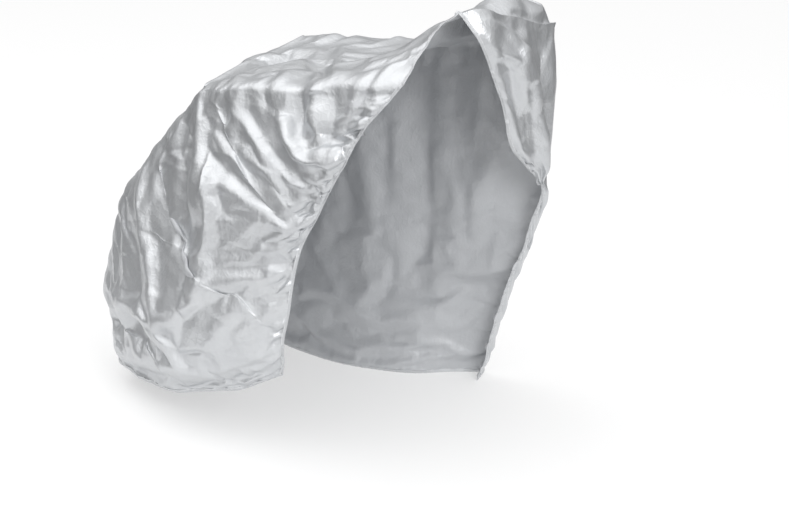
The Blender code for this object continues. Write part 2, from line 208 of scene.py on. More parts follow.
# Far shoulder seam along the top: from the front corner back to the far peak.
FAR_SHOULDER = through(
    (0.755, 0.555, 0.968),
    (0.690, 0.560, 0.960),
    (0.600, 0.525, 0.928),
    (0.450, 0.460, 0.900),
    (0.307, 0.415, 0.893),
    (0.200, 0.385, 0.888),
    (0.110, 0.355, 0.868),
)
# Far seam down the tail, listed from the hem up to the far peak.
FAR_TAIL = through(
    (-0.300, 0.350, 0.000),
    (-0.360, 0.345, 0.130),
    (-0.385, 0.335, 0.300),
    (-0.330, 0.325, 0.480),
    (-0.225, 0.320, 0.640),
    (-0.110, 0.325, 0.765),
    (-0.003, 0.340, 0.822),
    (0.110, 0.355, 0.868),
)
# Far side, bottom hem on the floor: from the fold back to the tail.
FAR_HEM = through(
    (0.503, 0.602, 0.000),
    (0.440, 0.545, 0.000),
    (0.360, 0.460, 0.000),
    (0.200, 0.395, 0.000),
    (0.050, 0.385, 0.000),
    (-0.120, 0.395, 0.000),
    (-0.300, 0.350, 0.000),
)
# Hem across the tail, from the near seam to the far seam.
TAIL_HEM = through(
    (-0.137, -0.082, 0.055),
    (-0.215, 0.030, 0.050),
    (-0.255, 0.150, 0.030),
    (-0.280, 0.260, 0.010),
    (-0.300, 0.350, 0.000),
)


# ----------------------------------------
# What raises and draws in the cloth.


class Swell(NamedTuple):
    """A broad push on a panel. Centre and reach are shares of its length and height (strip: of its width)."""

    along: float
    across: float
    reach_along: float
    reach_across: float
    out: float


class Shape(Enum):
    """How a fold is rounded across its run."""

    ROLL = "round all over, as a soft fold"
    TENT = "straight down both sides, as crisp cloth hangs over a taut line"
    CREASE = "sharp at its crest, as a pressed line"


class Fold(NamedTuple):
    """A fold or crease through three places, each given by two of its panel's own coordinates.

    They are x and z on a side, y and z on the flap, and on the strip y and the way back from the open front.
    The width and the height are in metres.
    """

    a0: float
    b0: float
    a1: float
    b1: float
    a2: float
    b2: float
    width: float
    height: float


# A line that flat facets meet in: at each place two of the panel's coordinates, and how far out it stands,
# in millimetres.
Crest = tuple[tuple[float, float, float], ...]


class Furrow(NamedTuple):
    """A fold that runs on over a seam, along a line in space. It moves all the cloth near it one way."""

    line: tuple[Station, ...]
    way: tuple[float, float, float]
    width: float
    height: float


NEAR_SWELLS = (
    Swell(0.45, 0.22, 0.50, 0.28, 0.045),
    Swell(0.30, 0.60, 0.45, 0.35, 0.020),
    Swell(0.80, 0.45, 0.25, 0.35, 0.015),
)
STRIP_SWELLS = (
    Swell(0.045, 0.70, 0.080, 0.34, 0.042),  # lifted behind the high front edge
    Swell(0.16, 0.45, 0.110, 0.40, -0.022),
    Swell(0.30, 0.45, 0.120, 0.36, -0.012),
    Swell(0.44, 0.50, 0.080, 0.22, -0.028),  # sag between the two peaks
    Swell(0.70, 0.50, 0.200, 0.30, -0.030),  # hollow between the two humps of the tail
)
FAR_SWELLS = (
    Swell(0.50, 0.40, 0.45, 0.40, 0.030),
)
FLAP_SWELLS = (
    Swell(0.50, 0.72, 0.45, 0.30, 0.022),
)


def folded(*rows: tuple[float, ...]) -> tuple[Fold, ...]:
    """Returns folds, one for each row of a Fold's own values."""
    return tuple(Fold(*row) for row in rows)


# The main folds, which the solid has too.
NEAR_FOLDS = folded(
    (0.185, 0.807, 0.236, 0.666, 0.279, 0.445, 0.030, 0.020),  # main ridge hanging from the peak
    (0.067, 0.600, 0.142, 0.524, 0.256, 0.454, 0.045, -0.040),  # deep pocket beside it
    (0.293, 0.836, 0.434, 0.721, 0.569, 0.591, 0.028, 0.016),  # second ridge, to the front edge
    (0.250, 0.802, 0.360, 0.707, 0.556, 0.576, 0.030, -0.014),  # trough between the two ridges
    (0.021, 0.469, 0.254, 0.421, 0.383, 0.391, 0.026, -0.016),  # slanting crease
    (0.013, 0.525, 0.067, 0.410, 0.188, 0.302, 0.030, 0.018),  # upright ridge near the tail
    (-0.113, 0.450, -0.013, 0.384, -0.046, 0.290, 0.035, -0.014),  # hollow behind it
    (-0.171, 0.229, 0.085, 0.248, 0.209, 0.189, 0.028, 0.018),  # lip above the low pocket
    (-0.027, 0.190, 0.100, 0.200, 0.190, 0.165, 0.024, -0.018),  # low pocket
    (-0.093, 0.118, 0.258, 0.173, 0.437, 0.211, 0.028, 0.016),  # long low fold
    (0.270, 0.118, 0.362, 0.140, 0.434, 0.180, 0.022, -0.012),  # hollow under it
    (0.410, 0.405, 0.472, 0.333, 0.505, 0.300, 0.022, -0.010),  # crease to the low front corner
    (0.331, 0.407, 0.419, 0.422, 0.531, 0.453, 0.022, 0.008),  # stretch line to the band
    (0.472, 0.785, 0.549, 0.735, 0.656, 0.739, 0.030, 0.024),  # rolled fold
    (0.525, 0.874, 0.583, 0.790, 0.681, 0.800, 0.028, -0.016),  # trough above the roll
    (0.468, 0.736, 0.543, 0.681, 0.624, 0.673, 0.026, -0.012),  # trough below the roll
)
FAR_FOLDS = folded(
    (0.100, 0.840, 0.060, 0.560, 0.020, 0.250, 0.050, 0.014),
    (0.230, 0.840, 0.260, 0.520, 0.230, 0.160, 0.045, -0.014),
    (0.400, 0.860, 0.420, 0.560, 0.400, 0.220, 0.050, 0.014),
    (0.560, 0.880, 0.560, 0.600, 0.520, 0.300, 0.040, -0.012),
    (-0.080, 0.740, -0.160, 0.480, -0.180, 0.200, 0.050, -0.014),
)
FLAP_FOLDS = folded(
    (0.330, 1.000, 0.390, 0.880, 0.500, 0.640, 0.030, 0.014),
    (0.470, 0.960, 0.480, 0.820, 0.545, 0.600, 0.026, -0.014),
    (0.265, 0.960, 0.310, 0.860, 0.380, 0.720, 0.026, -0.012),
)

# The finer creases, which only the thin cloth has.
NEAR_CREASES = folded(
    # round the main ridge and the deep pocket
    (0.022, 0.598, 0.095, 0.526, 0.202, 0.443, 0.009, 0.006),
    (0.253, 0.641, 0.284, 0.554, 0.234, 0.432, 0.009, 0.006),
    (-0.008, 0.596, 0.054, 0.544, 0.085, 0.488, 0.005, 0.003),
    (0.018, 0.620, 0.130, 0.630, 0.252, 0.630, 0.009, 0.006),
    (0.002, 0.644, 0.066, 0.650, 0.219, 0.699, 0.008, -0.005),
    (0.080, 0.735, 0.147, 0.717, 0.203, 0.705, 0.007, -0.004),
    (0.145, 0.785, 0.123, 0.745, 0.086, 0.706, 0.007, 0.004),
    (0.154, 0.668, 0.225, 0.669, 0.259, 0.671, 0.005, 0.003),
    # between the ridges that run to the front edge
    (0.174, 0.807, 0.321, 0.696, 0.479, 0.639, 0.009, -0.008),
    (0.479, 0.639, 0.535, 0.620, 0.568, 0.590, 0.008, -0.006),
    (0.259, 0.843, 0.373, 0.770, 0.502, 0.700, 0.009, 0.007),
    (0.502, 0.700, 0.550, 0.668, 0.590, 0.634, 0.008, 0.005),
    (0.208, 0.786, 0.265, 0.764, 0.406, 0.761, 0.006, 0.003),
    (0.229, 0.760, 0.300, 0.743, 0.439, 0.735, 0.006, -0.003),
    (0.259, 0.664, 0.294, 0.625, 0.346, 0.589, 0.007, 0.004),
    (0.268, 0.698, 0.317, 0.659, 0.387, 0.628, 0.006, -0.003),
    (0.347, 0.578, 0.389, 0.558, 0.439, 0.535, 0.007, 0.004),
    (0.387, 0.591, 0.454, 0.594, 0.518, 0.582, 0.007, -0.004),
    (0.392, 0.633, 0.461, 0.611, 0.550, 0.598, 0.007, 0.005),
    (0.468, 0.573, 0.506, 0.561, 0.542, 0.543, 0.006, -0.004),
    (0.482, 0.592, 0.523, 0.576, 0.557, 0.566, 0.006, 0.004),
    # towards the band at mid height
    (0.383, 0.474, 0.453, 0.476, 0.539, 0.476, 0.006, 0.004),
    (0.377, 0.512, 0.471, 0.498, 0.548, 0.503, 0.006, -0.004),
    (0.520, 0.497, 0.496, 0.479, 0.528, 0.470, 0.006, 0.004),
    (0.297, 0.402, 0.417, 0.433, 0.536, 0.458, 0.008, 0.005),
    # the slanting crease and the upright ridge near the tail
    (-0.037, 0.469, 0.074, 0.453, 0.278, 0.398, 0.009, -0.005),
    (0.011, 0.534, 0.034, 0.445, 0.153, 0.295, 0.010, 0.008),
    (0.046, 0.521, 0.096, 0.423, 0.187, 0.333, 0.009, -0.006),
    (-0.072, 0.392, -0.083, 0.334, -0.108, 0.301, 0.006, 0.003),
    (-0.161, 0.440, -0.111, 0.441, -0.029, 0.459, 0.006, -0.003),
    (0.254, 0.397, 0.277, 0.369, 0.285, 0.336, 0.005, 0.003),
    (0.230, 0.409, 0.227, 0.364, 0.114, 0.309, 0.007, 0.004),
    (0.316, 0.359, 0.289, 0.317, 0.259, 0.276, 0.006, 0.003),
    # the lip, the low pocket and the small tuck beside them
    (-0.171, 0.244, -0.002, 0.268, 0.175, 0.257, 0.010, 0.008),
    (-0.099, 0.171, 0.115, 0.252, 0.219, 0.188, 0.009, -0.006),
    (-0.069, 0.138, 0.075, 0.163, 0.211, 0.184, 0.008, 0.005),
    (0.183, 0.289, 0.222, 0.311, 0.268, 0.339, 0.008, 0.006),
    (0.187, 0.255, 0.220, 0.271, 0.253, 0.292, 0.008, -0.006),
    # the low front
    (0.347, 0.316, 0.358, 0.303, 0.362, 0.286, 0.005, 0.004),
    (0.362, 0.286, 0.340, 0.261, 0.327, 0.243, 0.005, 0.004),
    (0.327, 0.243, 0.329, 0.231, 0.327, 0.218, 0.005, 0.004),
    (-0.077, 0.135, 0.225, 0.172, 0.376, 0.194, 0.008, 0.005),
    (0.294, 0.173, 0.376, 0.194, 0.438, 0.228, 0.006, 0.004),
    (-0.114, 0.070, -0.005, 0.075, 0.060, 0.080, 0.008, -0.005),
    (0.278, 0.119, 0.375, 0.191, 0.435, 0.209, 0.008, -0.004),
    (0.443, 0.234, 0.466, 0.280, 0.495, 0.313, 0.007, -0.005),
    (0.300, 0.385, 0.380, 0.322, 0.442, 0.250, 0.006, 0.003),
    (0.367, 0.379, 0.419, 0.353, 0.486, 0.315, 0.005, 0.003),
    # the rolled fold and what fans out above it
    (0.469, 0.798, 0.497, 0.812, 0.535, 0.785, 0.009, 0.006),
    (0.535, 0.785, 0.585, 0.758, 0.635, 0.768, 0.009, 0.008),
    (0.479, 0.788, 0.527, 0.741, 0.587, 0.702, 0.008, -0.006),
    (0.587, 0.702, 0.625, 0.685, 0.645, 0.690, 0.008, -0.006),
    (0.635, 0.768, 0.674, 0.754, 0.660, 0.700, 0.008, 0.006),
    (0.550, 0.882, 0.552, 0.827, 0.585, 0.769, 0.009, -0.006),
    (0.517, 0.854, 0.543, 0.815, 0.569, 0.778, 0.007, 0.004),
    (0.632, 0.772, 0.657, 0.785, 0.697, 0.798, 0.007, -0.005),
    (0.632, 0.787, 0.671, 0.811, 0.710, 0.823, 0.007, 0.005),
    (0.581, 0.844, 0.581, 0.811, 0.603, 0.786, 0.007, -0.004),
    (0.321, 0.835, 0.341, 0.820, 0.365, 0.809, 0.005, 0.003),
    (0.384, 0.843, 0.425, 0.829, 0.460, 0.820, 0.006, -0.003),
    (0.408, 0.819, 0.444, 0.809, 0.483, 0.801, 0.006, 0.003),
    (0.585, 0.884, 0.571, 0.853, 0.560, 0.830, 0.006, 0.003),
)
STRIP_CREASES = folded(
    (0.055, 0.570, 0.015, 0.520, -0.025, 0.470, 0.006, -0.003),
    (0.300, 0.880, 0.200, 0.750, 0.087, 0.610, 0.007, 0.004),
    (0.000, 0.580, -0.015, 0.510, -0.028, 0.450, 0.006, 0.003),
    (0.023, 0.330, 0.079, 0.350, 0.110, 0.300, 0.009, -0.005),
    (0.180, 0.060, 0.210, 0.200, 0.240, 0.400, 0.014, 0.005),
    (0.330, 0.100, 0.300, 0.250, 0.280, 0.420, 0.014, -0.005),
    (0.050, 0.750, 0.100, 0.900, 0.130, 1.100, 0.016, 0.008),
    (0.220, 0.780, 0.200, 0.950, 0.210, 1.200, 0.016, -0.008),
    (0.020, 0.800, 0.120, 0.820, 0.240, 0.790, 0.010, 0.005),
    (0.000, 0.900, 0.140, 0.930, 0.280, 0.900, 0.012, -0.005),
)
FLAP_CREASES = folded(
    (0.205, 1.030, 0.262, 1.004, 0.335, 0.962, 0.011, 0.003),
    (0.222, 0.990, 0.286, 0.951, 0.340, 0.925, 0.008, 0.003),
    (0.378, 0.830, 0.405, 0.709, 0.480, 0.580, 0.010, -0.004),
    (0.548, 0.945, 0.509, 0.889, 0.460, 0.760, 0.007, 0.003),
    (0.531, 0.960, 0.501, 0.900, 0.480, 0.800, 0.006, -0.002),
    (0.540, 0.955, 0.530, 0.860, 0.555, 0.700, 0.008, 0.003),
)
# The near side leans away from its main ridge, back to the tail and forward to the band.
NEAR_LEAN = (Fold(0.270, 0.640, 0.314, 0.540, 0.300, 0.300, 0.130, 0.022),)
# Lines that the near side's flat facets meet in. Each place is x, z and the millimetres that it stands out.
NEAR_CRESTS = (
    # the main ridge
    ((0.170, 0.807, 2), (0.190, 0.758, 10), (0.221, 0.702, 16), (0.257, 0.656, 20), (0.314, 0.604, 22),
     (0.318, 0.537, 20), (0.301, 0.471, 12), (0.289, 0.434, 4)),
    # the deep pocket: its bottom beside the ridge, a soft rise in it, its bottom on the left, its left rim
    ((0.171, 0.676, -2), (0.189, 0.625, -10), (0.212, 0.571, -16), (0.240, 0.508, -18), (0.258, 0.459, -16),
     (0.271, 0.432, -8)),
    ((0.126, 0.642, 0), (0.161, 0.593, -6), (0.197, 0.529, -10), (0.240, 0.474, -13)),
    ((0.056, 0.606, 0), (0.085, 0.550, -10), (0.127, 0.504, -16), (0.192, 0.460, -18), (0.271, 0.432, -8)),
    ((-0.045, 0.561, 3), (0.046, 0.531, 7), (0.071, 0.455, 7), (0.149, 0.426, 5), (0.275, 0.413, 5),
     (0.321, 0.408, 6)),
    # the long diagonal that goes on below it
    ((0.317, 0.403, 5), (0.394, 0.368, 5), (0.444, 0.330, 5), (0.464, 0.270, 3), (0.461, 0.222, 2)),
    # the upright ridge on the tail, and the dips on both its sides
    ((-0.022, 0.537, 3), (0.016, 0.503, 9), (0.049, 0.453, 12), (0.091, 0.407, 14), (0.141, 0.344, 12),
     (0.168, 0.286, 12)),
    ((0.054, 0.522, 2), (0.102, 0.442, -2), (0.157, 0.383, -3), (0.216, 0.340, -2)),
    ((-0.121, 0.495, -3), (-0.042, 0.445, -6), (0.007, 0.385, -7), (0.065, 0.320, -6), (0.125, 0.272, -3)),
    # the stretch line to the band
    ((0.321, 0.408, 6), (0.388, 0.421, 5), (0.473, 0.443, 8), (0.531, 0.463, 5)),
    ((0.337, 0.439, 1), (0.416, 0.456, 1), (0.519, 0.488, -3)),
    ((0.368, 0.393, -3), (0.451, 0.399, -6), (0.522, 0.413, -3)),
    # the lip above the low pocket, with a small tuck, and its run to the tail
    ((0.168, 0.286, 12), (0.199, 0.296, 14), (0.260, 0.330, 16), (0.289, 0.352, 14)),
    ((0.185, 0.252, -2), (0.212, 0.262, -6), (0.255, 0.283, -8), (0.270, 0.308, -8), (0.319, 0.360, -4)),
    ((0.276, 0.394, 2), (0.289, 0.372, 9), (0.288, 0.343, 9)),
    ((-0.181, 0.244, 4), (-0.044, 0.261, 10), (0.099, 0.272, 14), (0.171, 0.264, 14), (0.206, 0.231, 14),
     (0.232, 0.172, 14)),
    ((-0.175, 0.155, -30), (-0.065, 0.188, -36), (0.050, 0.220, -36), (0.125, 0.222, -28),
     (0.190, 0.202, -12)),
    # the long low fold and what lies under it
    ((-0.120, 0.104, 8), (0.000, 0.126, 16), (0.091, 0.146, 20), (0.168, 0.164, 18), (0.232, 0.172, 14),
     (0.298, 0.174, 12), (0.365, 0.200, 12), (0.448, 0.242, 10), (0.473, 0.278, 8), (0.504, 0.315, 4)),
    ((0.288, 0.134, -14), (0.332, 0.151, -16), (0.389, 0.175, -14), (0.424, 0.190, -8)),
    ((0.252, 0.101, 2), (0.323, 0.131, 5), (0.384, 0.163, 5), (0.433, 0.192, 3)),
    ((-0.088, 0.071, -2), (-0.013, 0.069, -8), (0.081, 0.072, -4)),
    # a soft dip above the long low fold
    ((0.240, 0.215, -6), (0.310, 0.235, -9), (0.400, 0.275, -6)),
    # straight folds that fan out from the peak, ridges and dips by turns
    ((0.223, 0.792, 2), (0.330, 0.759, 6), (0.415, 0.716, 8), (0.515, 0.686, 5), (0.550, 0.680, 2)),
    ((0.230, 0.757, 2), (0.341, 0.692, 7), (0.429, 0.677, 9), (0.507, 0.638, 8), (0.573, 0.593, 3)),
    ((0.239, 0.766, 0), (0.334, 0.712, -5), (0.431, 0.680, -6), (0.538, 0.651, -5)),
    ((0.253, 0.684, 10), (0.343, 0.638, 12), (0.418, 0.621, 11), (0.473, 0.596, 7), (0.534, 0.560, 2)),
    ((0.246, 0.709, 1), (0.345, 0.665, -5), (0.437, 0.632, -6), (0.521, 0.593, -4)),
    ((0.276, 0.847, 1), (0.315, 0.826, 6), (0.351, 0.801, 7), (0.410, 0.757, 6), (0.471, 0.716, 3)),
    ((0.234, 0.815, 1), (0.292, 0.791, -3), (0.360, 0.745, -5), (0.431, 0.715, -5)),
    ((0.324, 0.833, 0), (0.375, 0.798, -7), (0.426, 0.762, -9), (0.484, 0.722, -7), (0.534, 0.701, -3)),
    ((0.396, 0.586, 2), (0.456, 0.579, 7), (0.523, 0.576, 7), (0.567, 0.568, 3)),
    ((0.410, 0.570, 6), (0.433, 0.543, 6), (0.443, 0.498, 3)),
    ((0.345, 0.560, 8), (0.352, 0.500, 5), (0.345, 0.450, 1)),
    ((0.464, 0.539, -5), (0.518, 0.534, -5), (0.547, 0.530, -3)),
    # the rolled fold, with the dips that bound it
    ((0.486, 0.814, 8), (0.523, 0.777, 18), (0.564, 0.747, 24), (0.604, 0.738, 26), (0.644, 0.743, 26),
     (0.670, 0.752, 20), (0.685, 0.745, 6)),
    ((0.440, 0.806, -2), (0.455, 0.749, -8), (0.512, 0.713, -10), (0.556, 0.694, -10), (0.615, 0.686, -10),
     (0.653, 0.688, -5)),
    ((0.499, 0.822, -6), (0.545, 0.788, -14), (0.578, 0.769, -16), (0.623, 0.778, -12), (0.667, 0.779, -8),
     (0.691, 0.762, -3)),
    # the steep face above it, highest along its right edge
    ((0.561, 0.881, 14), (0.590, 0.824, 16), (0.602, 0.780, 8)),
    ((0.512, 0.870, -8), (0.524, 0.835, -10), (0.545, 0.800, -12)),
    ((0.614, 0.876, 0), (0.636, 0.833, -4), (0.650, 0.800, -6)),
    # low front
    ((0.345, 0.337, -2), (0.372, 0.308, 5), (0.352, 0.256, 6), (0.336, 0.219, 1)),
    ((0.475, 0.369, -2), (0.489, 0.333, -6), (0.488, 0.283, -2)),
    # between the peak and the tail
    ((0.091, 0.748, 1), (0.094, 0.701, 6), (0.089, 0.656, 5), (0.049, 0.617, 2)),
    ((0.143, 0.756, -2), (0.131, 0.704, -6), (0.130, 0.669, -4)),
    ((0.062, 0.650, 2), (0.147, 0.651, 8), (0.230, 0.668, 12)),
)
# The same on the flap, as y, z and millimetres.
FLAP_CRESTS = (
    ((0.198, 1.050, 2), (0.234, 1.040, 5), (0.271, 1.020, 8), (0.310, 0.992, 8), (0.338, 0.966, 2)),
    ((0.242, 1.050, -2), (0.320, 1.018, -8), (0.362, 0.992, -10), (0.367, 0.960, -3)),
    ((0.210, 1.038, -1), (0.248, 1.012, -5), (0.290, 0.985, -6), (0.323, 0.956, -3)),
    ((0.223, 1.012, 2), (0.248, 0.978, 7), (0.293, 0.950, 9), (0.338, 0.926, 6)),
    # along the band, the dip beside it, and the long dip that it falls to lower down
    ((0.249, 0.937, 6), (0.274, 0.893, 9), (0.304, 0.836, 10), (0.335, 0.777, 11), (0.370, 0.724, 11),
     (0.414, 0.672, 8)),
    ((0.305, 0.915, -3), (0.315, 0.895, -6), (0.342, 0.839, -7), (0.366, 0.797, -4)),
    ((0.382, 0.847, -4), (0.402, 0.789, -12), (0.413, 0.748, -14), (0.434, 0.689, -12), (0.452, 0.642, -6)),
    # the steep face that hangs from the seam, from its high left edge to its low right edge
    ((0.395, 0.985, 3), (0.356, 0.955, 9), (0.342, 0.918, 12), (0.355, 0.871, 13), (0.372, 0.824, 8)),
    ((0.505, 0.955, -8), (0.495, 0.905, -15), (0.470, 0.850, -15), (0.450, 0.795, -8), (0.475, 0.700, 0)),
)
# The far side's, as x, z and millimetres; they show inside, through the open front, as well.
FAR_CRESTS = (
    ((0.640, 0.880, 1.92), (0.560, 0.640, 9.6), (0.430, 0.330, 1.92)),
    ((0.300, 0.850, -1.6), (0.330, 0.650, -8), (0.300, 0.400, -1.6)),
    ((0.120, 0.800, 1.6), (0.150, 0.600, 8), (0.120, 0.380, 1.6)),
    ((-0.020, 0.780, 1.92), (-0.060, 0.560, 9.6), (-0.080, 0.300, 1.92)),
    ((0.450, 0.500, 1.6), (0.380, 0.330, 8), (0.300, 0.200, 1.6)),
    ((0.050, 0.300, -1.6), (0.150, 0.180, -8), (0.300, 0.120, -1.6)),
    ((-0.200, 0.400, 1.92), (-0.100, 0.250, 9.6), (0.050, 0.150, 1.92)),
    ((0.452, 0.860, -2), (0.429, 0.600, -8), (0.403, 0.307, -8), (0.426, 0.100, -2)),
    ((0.350, 0.840, 2), (0.313, 0.574, 8), (0.301, 0.260, 8), (0.336, 0.085, 2)),
    ((0.540, 0.860, 2), (0.535, 0.617, 8), (0.502, 0.320, 8), (0.489, 0.122, 2)),
    ((0.620, 0.880, -2), (0.612, 0.647, -8), (0.562, 0.345, -8), (0.525, 0.120, -2)),
)
STRIP_CRESTS = (
    ((-0.030, 0.626, 2), (0.000, 0.562, 6), (0.010, 0.431, 5), (0.045, 0.389, 1)),
    ((0.260, 0.780, 1), (0.136, 0.662, 5), (0.110, 0.560, 3)),
    ((0.234, 0.640, 1), (0.150, 0.530, 6), (0.060, 0.430, 3)),
    ((0.280, 0.560, -2), (0.180, 0.480, -9), (0.080, 0.390, -13), (-0.010, 0.296, -8)),
    ((0.260, 0.484, 2), (0.160, 0.400, 8), (0.055, 0.325, 11), (-0.030, 0.240, 5)),
    ((0.116, 0.250, 2), (0.030, 0.160, 5), (-0.010, 0.070, 2)),
    ((0.360, 0.300, 1), (0.260, 0.250, 6), (0.200, 0.160, 2)),
    ((0.050, 0.760, 1), (0.080, 0.900, 8), (0.120, 1.080, 5), (0.150, 1.250, 1)),
    ((0.230, 0.800, -1), (0.200, 0.980, -9), (0.210, 1.160, -8), (0.180, 1.330, -1)),
    ((-0.010, 1.180, 2), (0.090, 1.230, 8), (0.230, 1.210, 8), (0.330, 1.180, 2)),
    ((0.000, 1.330, -1), (0.110, 1.380, -8), (0.240, 1.350, -8), (0.330, 1.300, -1)),
    ((0.010, 1.490, 2), (0.120, 1.520, 7), (0.250, 1.500, 7), (0.330, 1.460, 2)),
)
# The strip stands up over the far front corner.
STRIP_CAP = (Swell(0.045, 0.91, 0.08, 0.13, 0.036), Swell(0.045, 0.75, 0.08, 0.15, 0.026))
OVER_NEAR = (0.10, -0.60, 0.79)
OVER_TAIL = (-0.62, -0.74, 0.26)
OVER_FAR = (0.0, 0.62, 0.78)
BEHIND_TAIL = (-0.70, 0.68, 0.22)
FURROWS = (
    # from the top over the near shoulder: a trough with a crest along its right side, and lesser ones
    Furrow(
        through((0.315, 0.212, 0.885), (0.458, 0.022, 0.890), (0.518, -0.060, 0.875),
                (0.527, -0.074, 0.821), (0.557, -0.109, 0.769)),
        OVER_NEAR, 0.030, -0.016,
    ),
    Furrow(
        through((0.345, 0.212, 0.890), (0.488, 0.022, 0.899), (0.548, -0.060, 0.880),
                (0.557, -0.074, 0.821), (0.587, -0.109, 0.769)),
        OVER_NEAR, 0.024, 0.012,
    ),
    Furrow(through((0.350, 0.100, 0.870), (0.400, -0.065, 0.878), (0.430, -0.085, 0.800)),
           OVER_NEAR, 0.015, -0.008),
    Furrow(through((0.200, 0.070, 0.835), (0.268, -0.065, 0.850), (0.330, -0.085, 0.760)),
           OVER_NEAR, 0.014, -0.008),
    Furrow(through((0.700, 0.120, 0.960), (0.712, -0.042, 0.926), (0.690, -0.085, 0.850)),
           OVER_NEAR, 0.013, -0.006),
    # round the near seam of the tail
    Furrow(through((0.030, 0.080, 0.700), (0.020, -0.032, 0.676), (0.085, -0.060, 0.650)),
           OVER_TAIL, 0.014, -0.006),
    Furrow(through((-0.200, 0.050, 0.440), (-0.165, -0.050, 0.432), (-0.080, -0.085, 0.400)),
           OVER_TAIL, 0.016, -0.007),
    Furrow(through((-0.260, 0.040, 0.190), (-0.205, -0.066, 0.190), (-0.100, -0.115, 0.150)),
           OVER_TAIL, 0.016, -0.010),
    # over the far shoulder and round the far seam of the tail
    Furrow(through((0.640, 0.470, 0.960), (0.690, 0.545, 0.965), (0.700, 0.600, 0.900)),
           OVER_FAR, 0.040, 0.022),
    Furrow(through((0.560, 0.300, 0.930), (0.540, 0.500, 0.914), (0.520, 0.520, 0.800)),
           OVER_FAR, 0.017, -0.010),
    Furrow(through((0.380, 0.280, 0.890), (0.380, 0.440, 0.896), (0.400, 0.460, 0.780)),
           OVER_FAR, 0.015, 0.007),
    Furrow(through((0.220, 0.240, 0.870), (0.240, 0.396, 0.890), (0.200, 0.420, 0.760)),
           OVER_FAR, 0.016, -0.008),
    Furrow(through((-0.260, 0.200, 0.560), (-0.280, 0.322, 0.560), (-0.180, 0.380, 0.520)),
           BEHIND_TAIL, 0.016, 0.008),
    Furrow(through((-0.340, 0.200, 0.330), (-0.380, 0.335, 0.330), (-0.270, 0.390, 0.280)),
           BEHIND_TAIL, 0.017, -0.010),
)


def soft_step(x: np.ndarray) -> np.ndarray:
    """Returns a smooth rise from 0 at x = 0 to 1 at x = 1.

    Args:
        x: where to read it, of any shape.

    Returns:
        The rise at each place.
    """
    x = np.clip(x, 0.0, 1.0)
    return x * x * (3 - 2 * x)


def between(p0: np.ndarray, p1: np.ndarray, p2: np.ndarray, p3: np.ndarray, t: np.ndarray) -> np.ndarray:
    """Returns the place at share t from p1 to p2, on a smooth line that goes on through p0 and p3."""
    return 0.5 * (2 * p1 + (p2 - p0) * t + (2 * p0 - 5 * p1 + 4 * p2 - p3) * t**2
                  + (3 * p1 - p0 - 3 * p2 + p3) * t**3)


def along_curve(stations: tuple[Station, ...], shares: np.ndarray) -> np.ndarray:
    """Returns points on a smooth line through the stations.

    Args:
        stations: the places that the line runs through.
        shares: how far along the line each point lies, from 0 to 1.

    Returns:
        One point for each share, in the frame's coordinates.
    """
    knots = np.array(stations, float)
    ends = np.vstack([2 * knots[0] - knots[1], knots, 2 * knots[-1] - knots[-2]])
    steps = np.linspace(0.0, 1.0, CURVE_STEPS, endpoint=False)
    dense = [between(*four, t) for four in zip(ends, ends[1:], ends[2:], ends[3:]) for t in steps]
    dense = np.array(dense + [knots[-1]])
    run = np.concatenate([[0], np.cumsum(np.linalg.norm(np.diff(dense, axis=0), axis=1))])
    return np.stack([np.interp(shares * run[-1], run, dense[:, k]) for k in range(3)], axis=1) - ORIGIN


def stretched(
    bottom: np.ndarray, top: np.ndarray, front: np.ndarray, back: np.ndarray, hold: int = 1
) -> np.ndarray:
    """Returns the cloth stretched between its four edges.

    Args:
        bottom: the lower edge's points, from the front to the back.
        top: the upper edge's points, from the front to the back.
        front: the front edge's points, from the bottom to the top.
        back: the back edge's points, from the bottom to the top.
        hold: the higher it is, the sooner the bends of the front and back edges die out.

    Returns:
        A grid of points, indexed from the front and from the bottom.
    """
    s = np.linspace(0, 1, len(bottom))[:, None, None]
    t = np.linspace(0, 1, len(front))[None, :, None]
    grid = (1 - t) * bottom[:, None] + t * top[:, None]
    grid = grid + (1 - s) ** hold * (front - (1 - t) * bottom[0] - t * top[0])
    return grid + s**hold * (back - (1 - t) * bottom[-1] - t * top[-1])


def grid_normals(grid: np.ndarray, outward: float) -> np.ndarray:
    """Returns the unit direction out of the cloth at each place of a grid.

    Args:
        grid: the cloth's points.
        outward: 1 or -1, which of the two sides is the outside.

    Returns:
        A unit vector for each point.
    """
    across = np.cross(np.gradient(grid, axis=0), np.gradient(grid, axis=1))
    return outward * across / np.maximum(np.linalg.norm(across, axis=2), 1e-12)[..., None]


def way_from(grid: np.ndarray, axis: int, from_end: bool = False) -> np.ndarray:
    """Returns how far each place lies from one edge, measured on the cloth along the grid's own lines.

    Args:
        grid: the cloth's points.
        axis: 0 to measure from the front or back edge, 1 from the bottom or top edge.
        from_end: whether the edge is the back or the top one.

    Returns:
        The distance at each place, in metres.
    """
    steps = np.linalg.norm(np.diff(grid, axis=axis), axis=2)
    run = np.cumsum(steps, axis=axis)
    run = np.insert(run, 0, 0.0, axis=axis)
    if from_end:
        run = np.take(run, [-1], axis=axis) - run
    return run


def swell_height(s: np.ndarray, t: np.ndarray, swells: tuple[Swell, ...]) -> np.ndarray:
    """Returns how far the broad swells push each place out.

    Args:
        s: the share of the panel's length at each place.
        t: the share of its height at each place.
        swells: the pushes.

    Returns:
        The height at each place, in metres.
    """
    total = np.zeros(np.broadcast(s, t).shape)
    for w in swells:
        far = np.hypot((s - w.along) / w.reach_along, (t - w.across) / w.reach_across)
        total += w.out * np.clip(1 - far * far, 0, None) ** 2
    return total


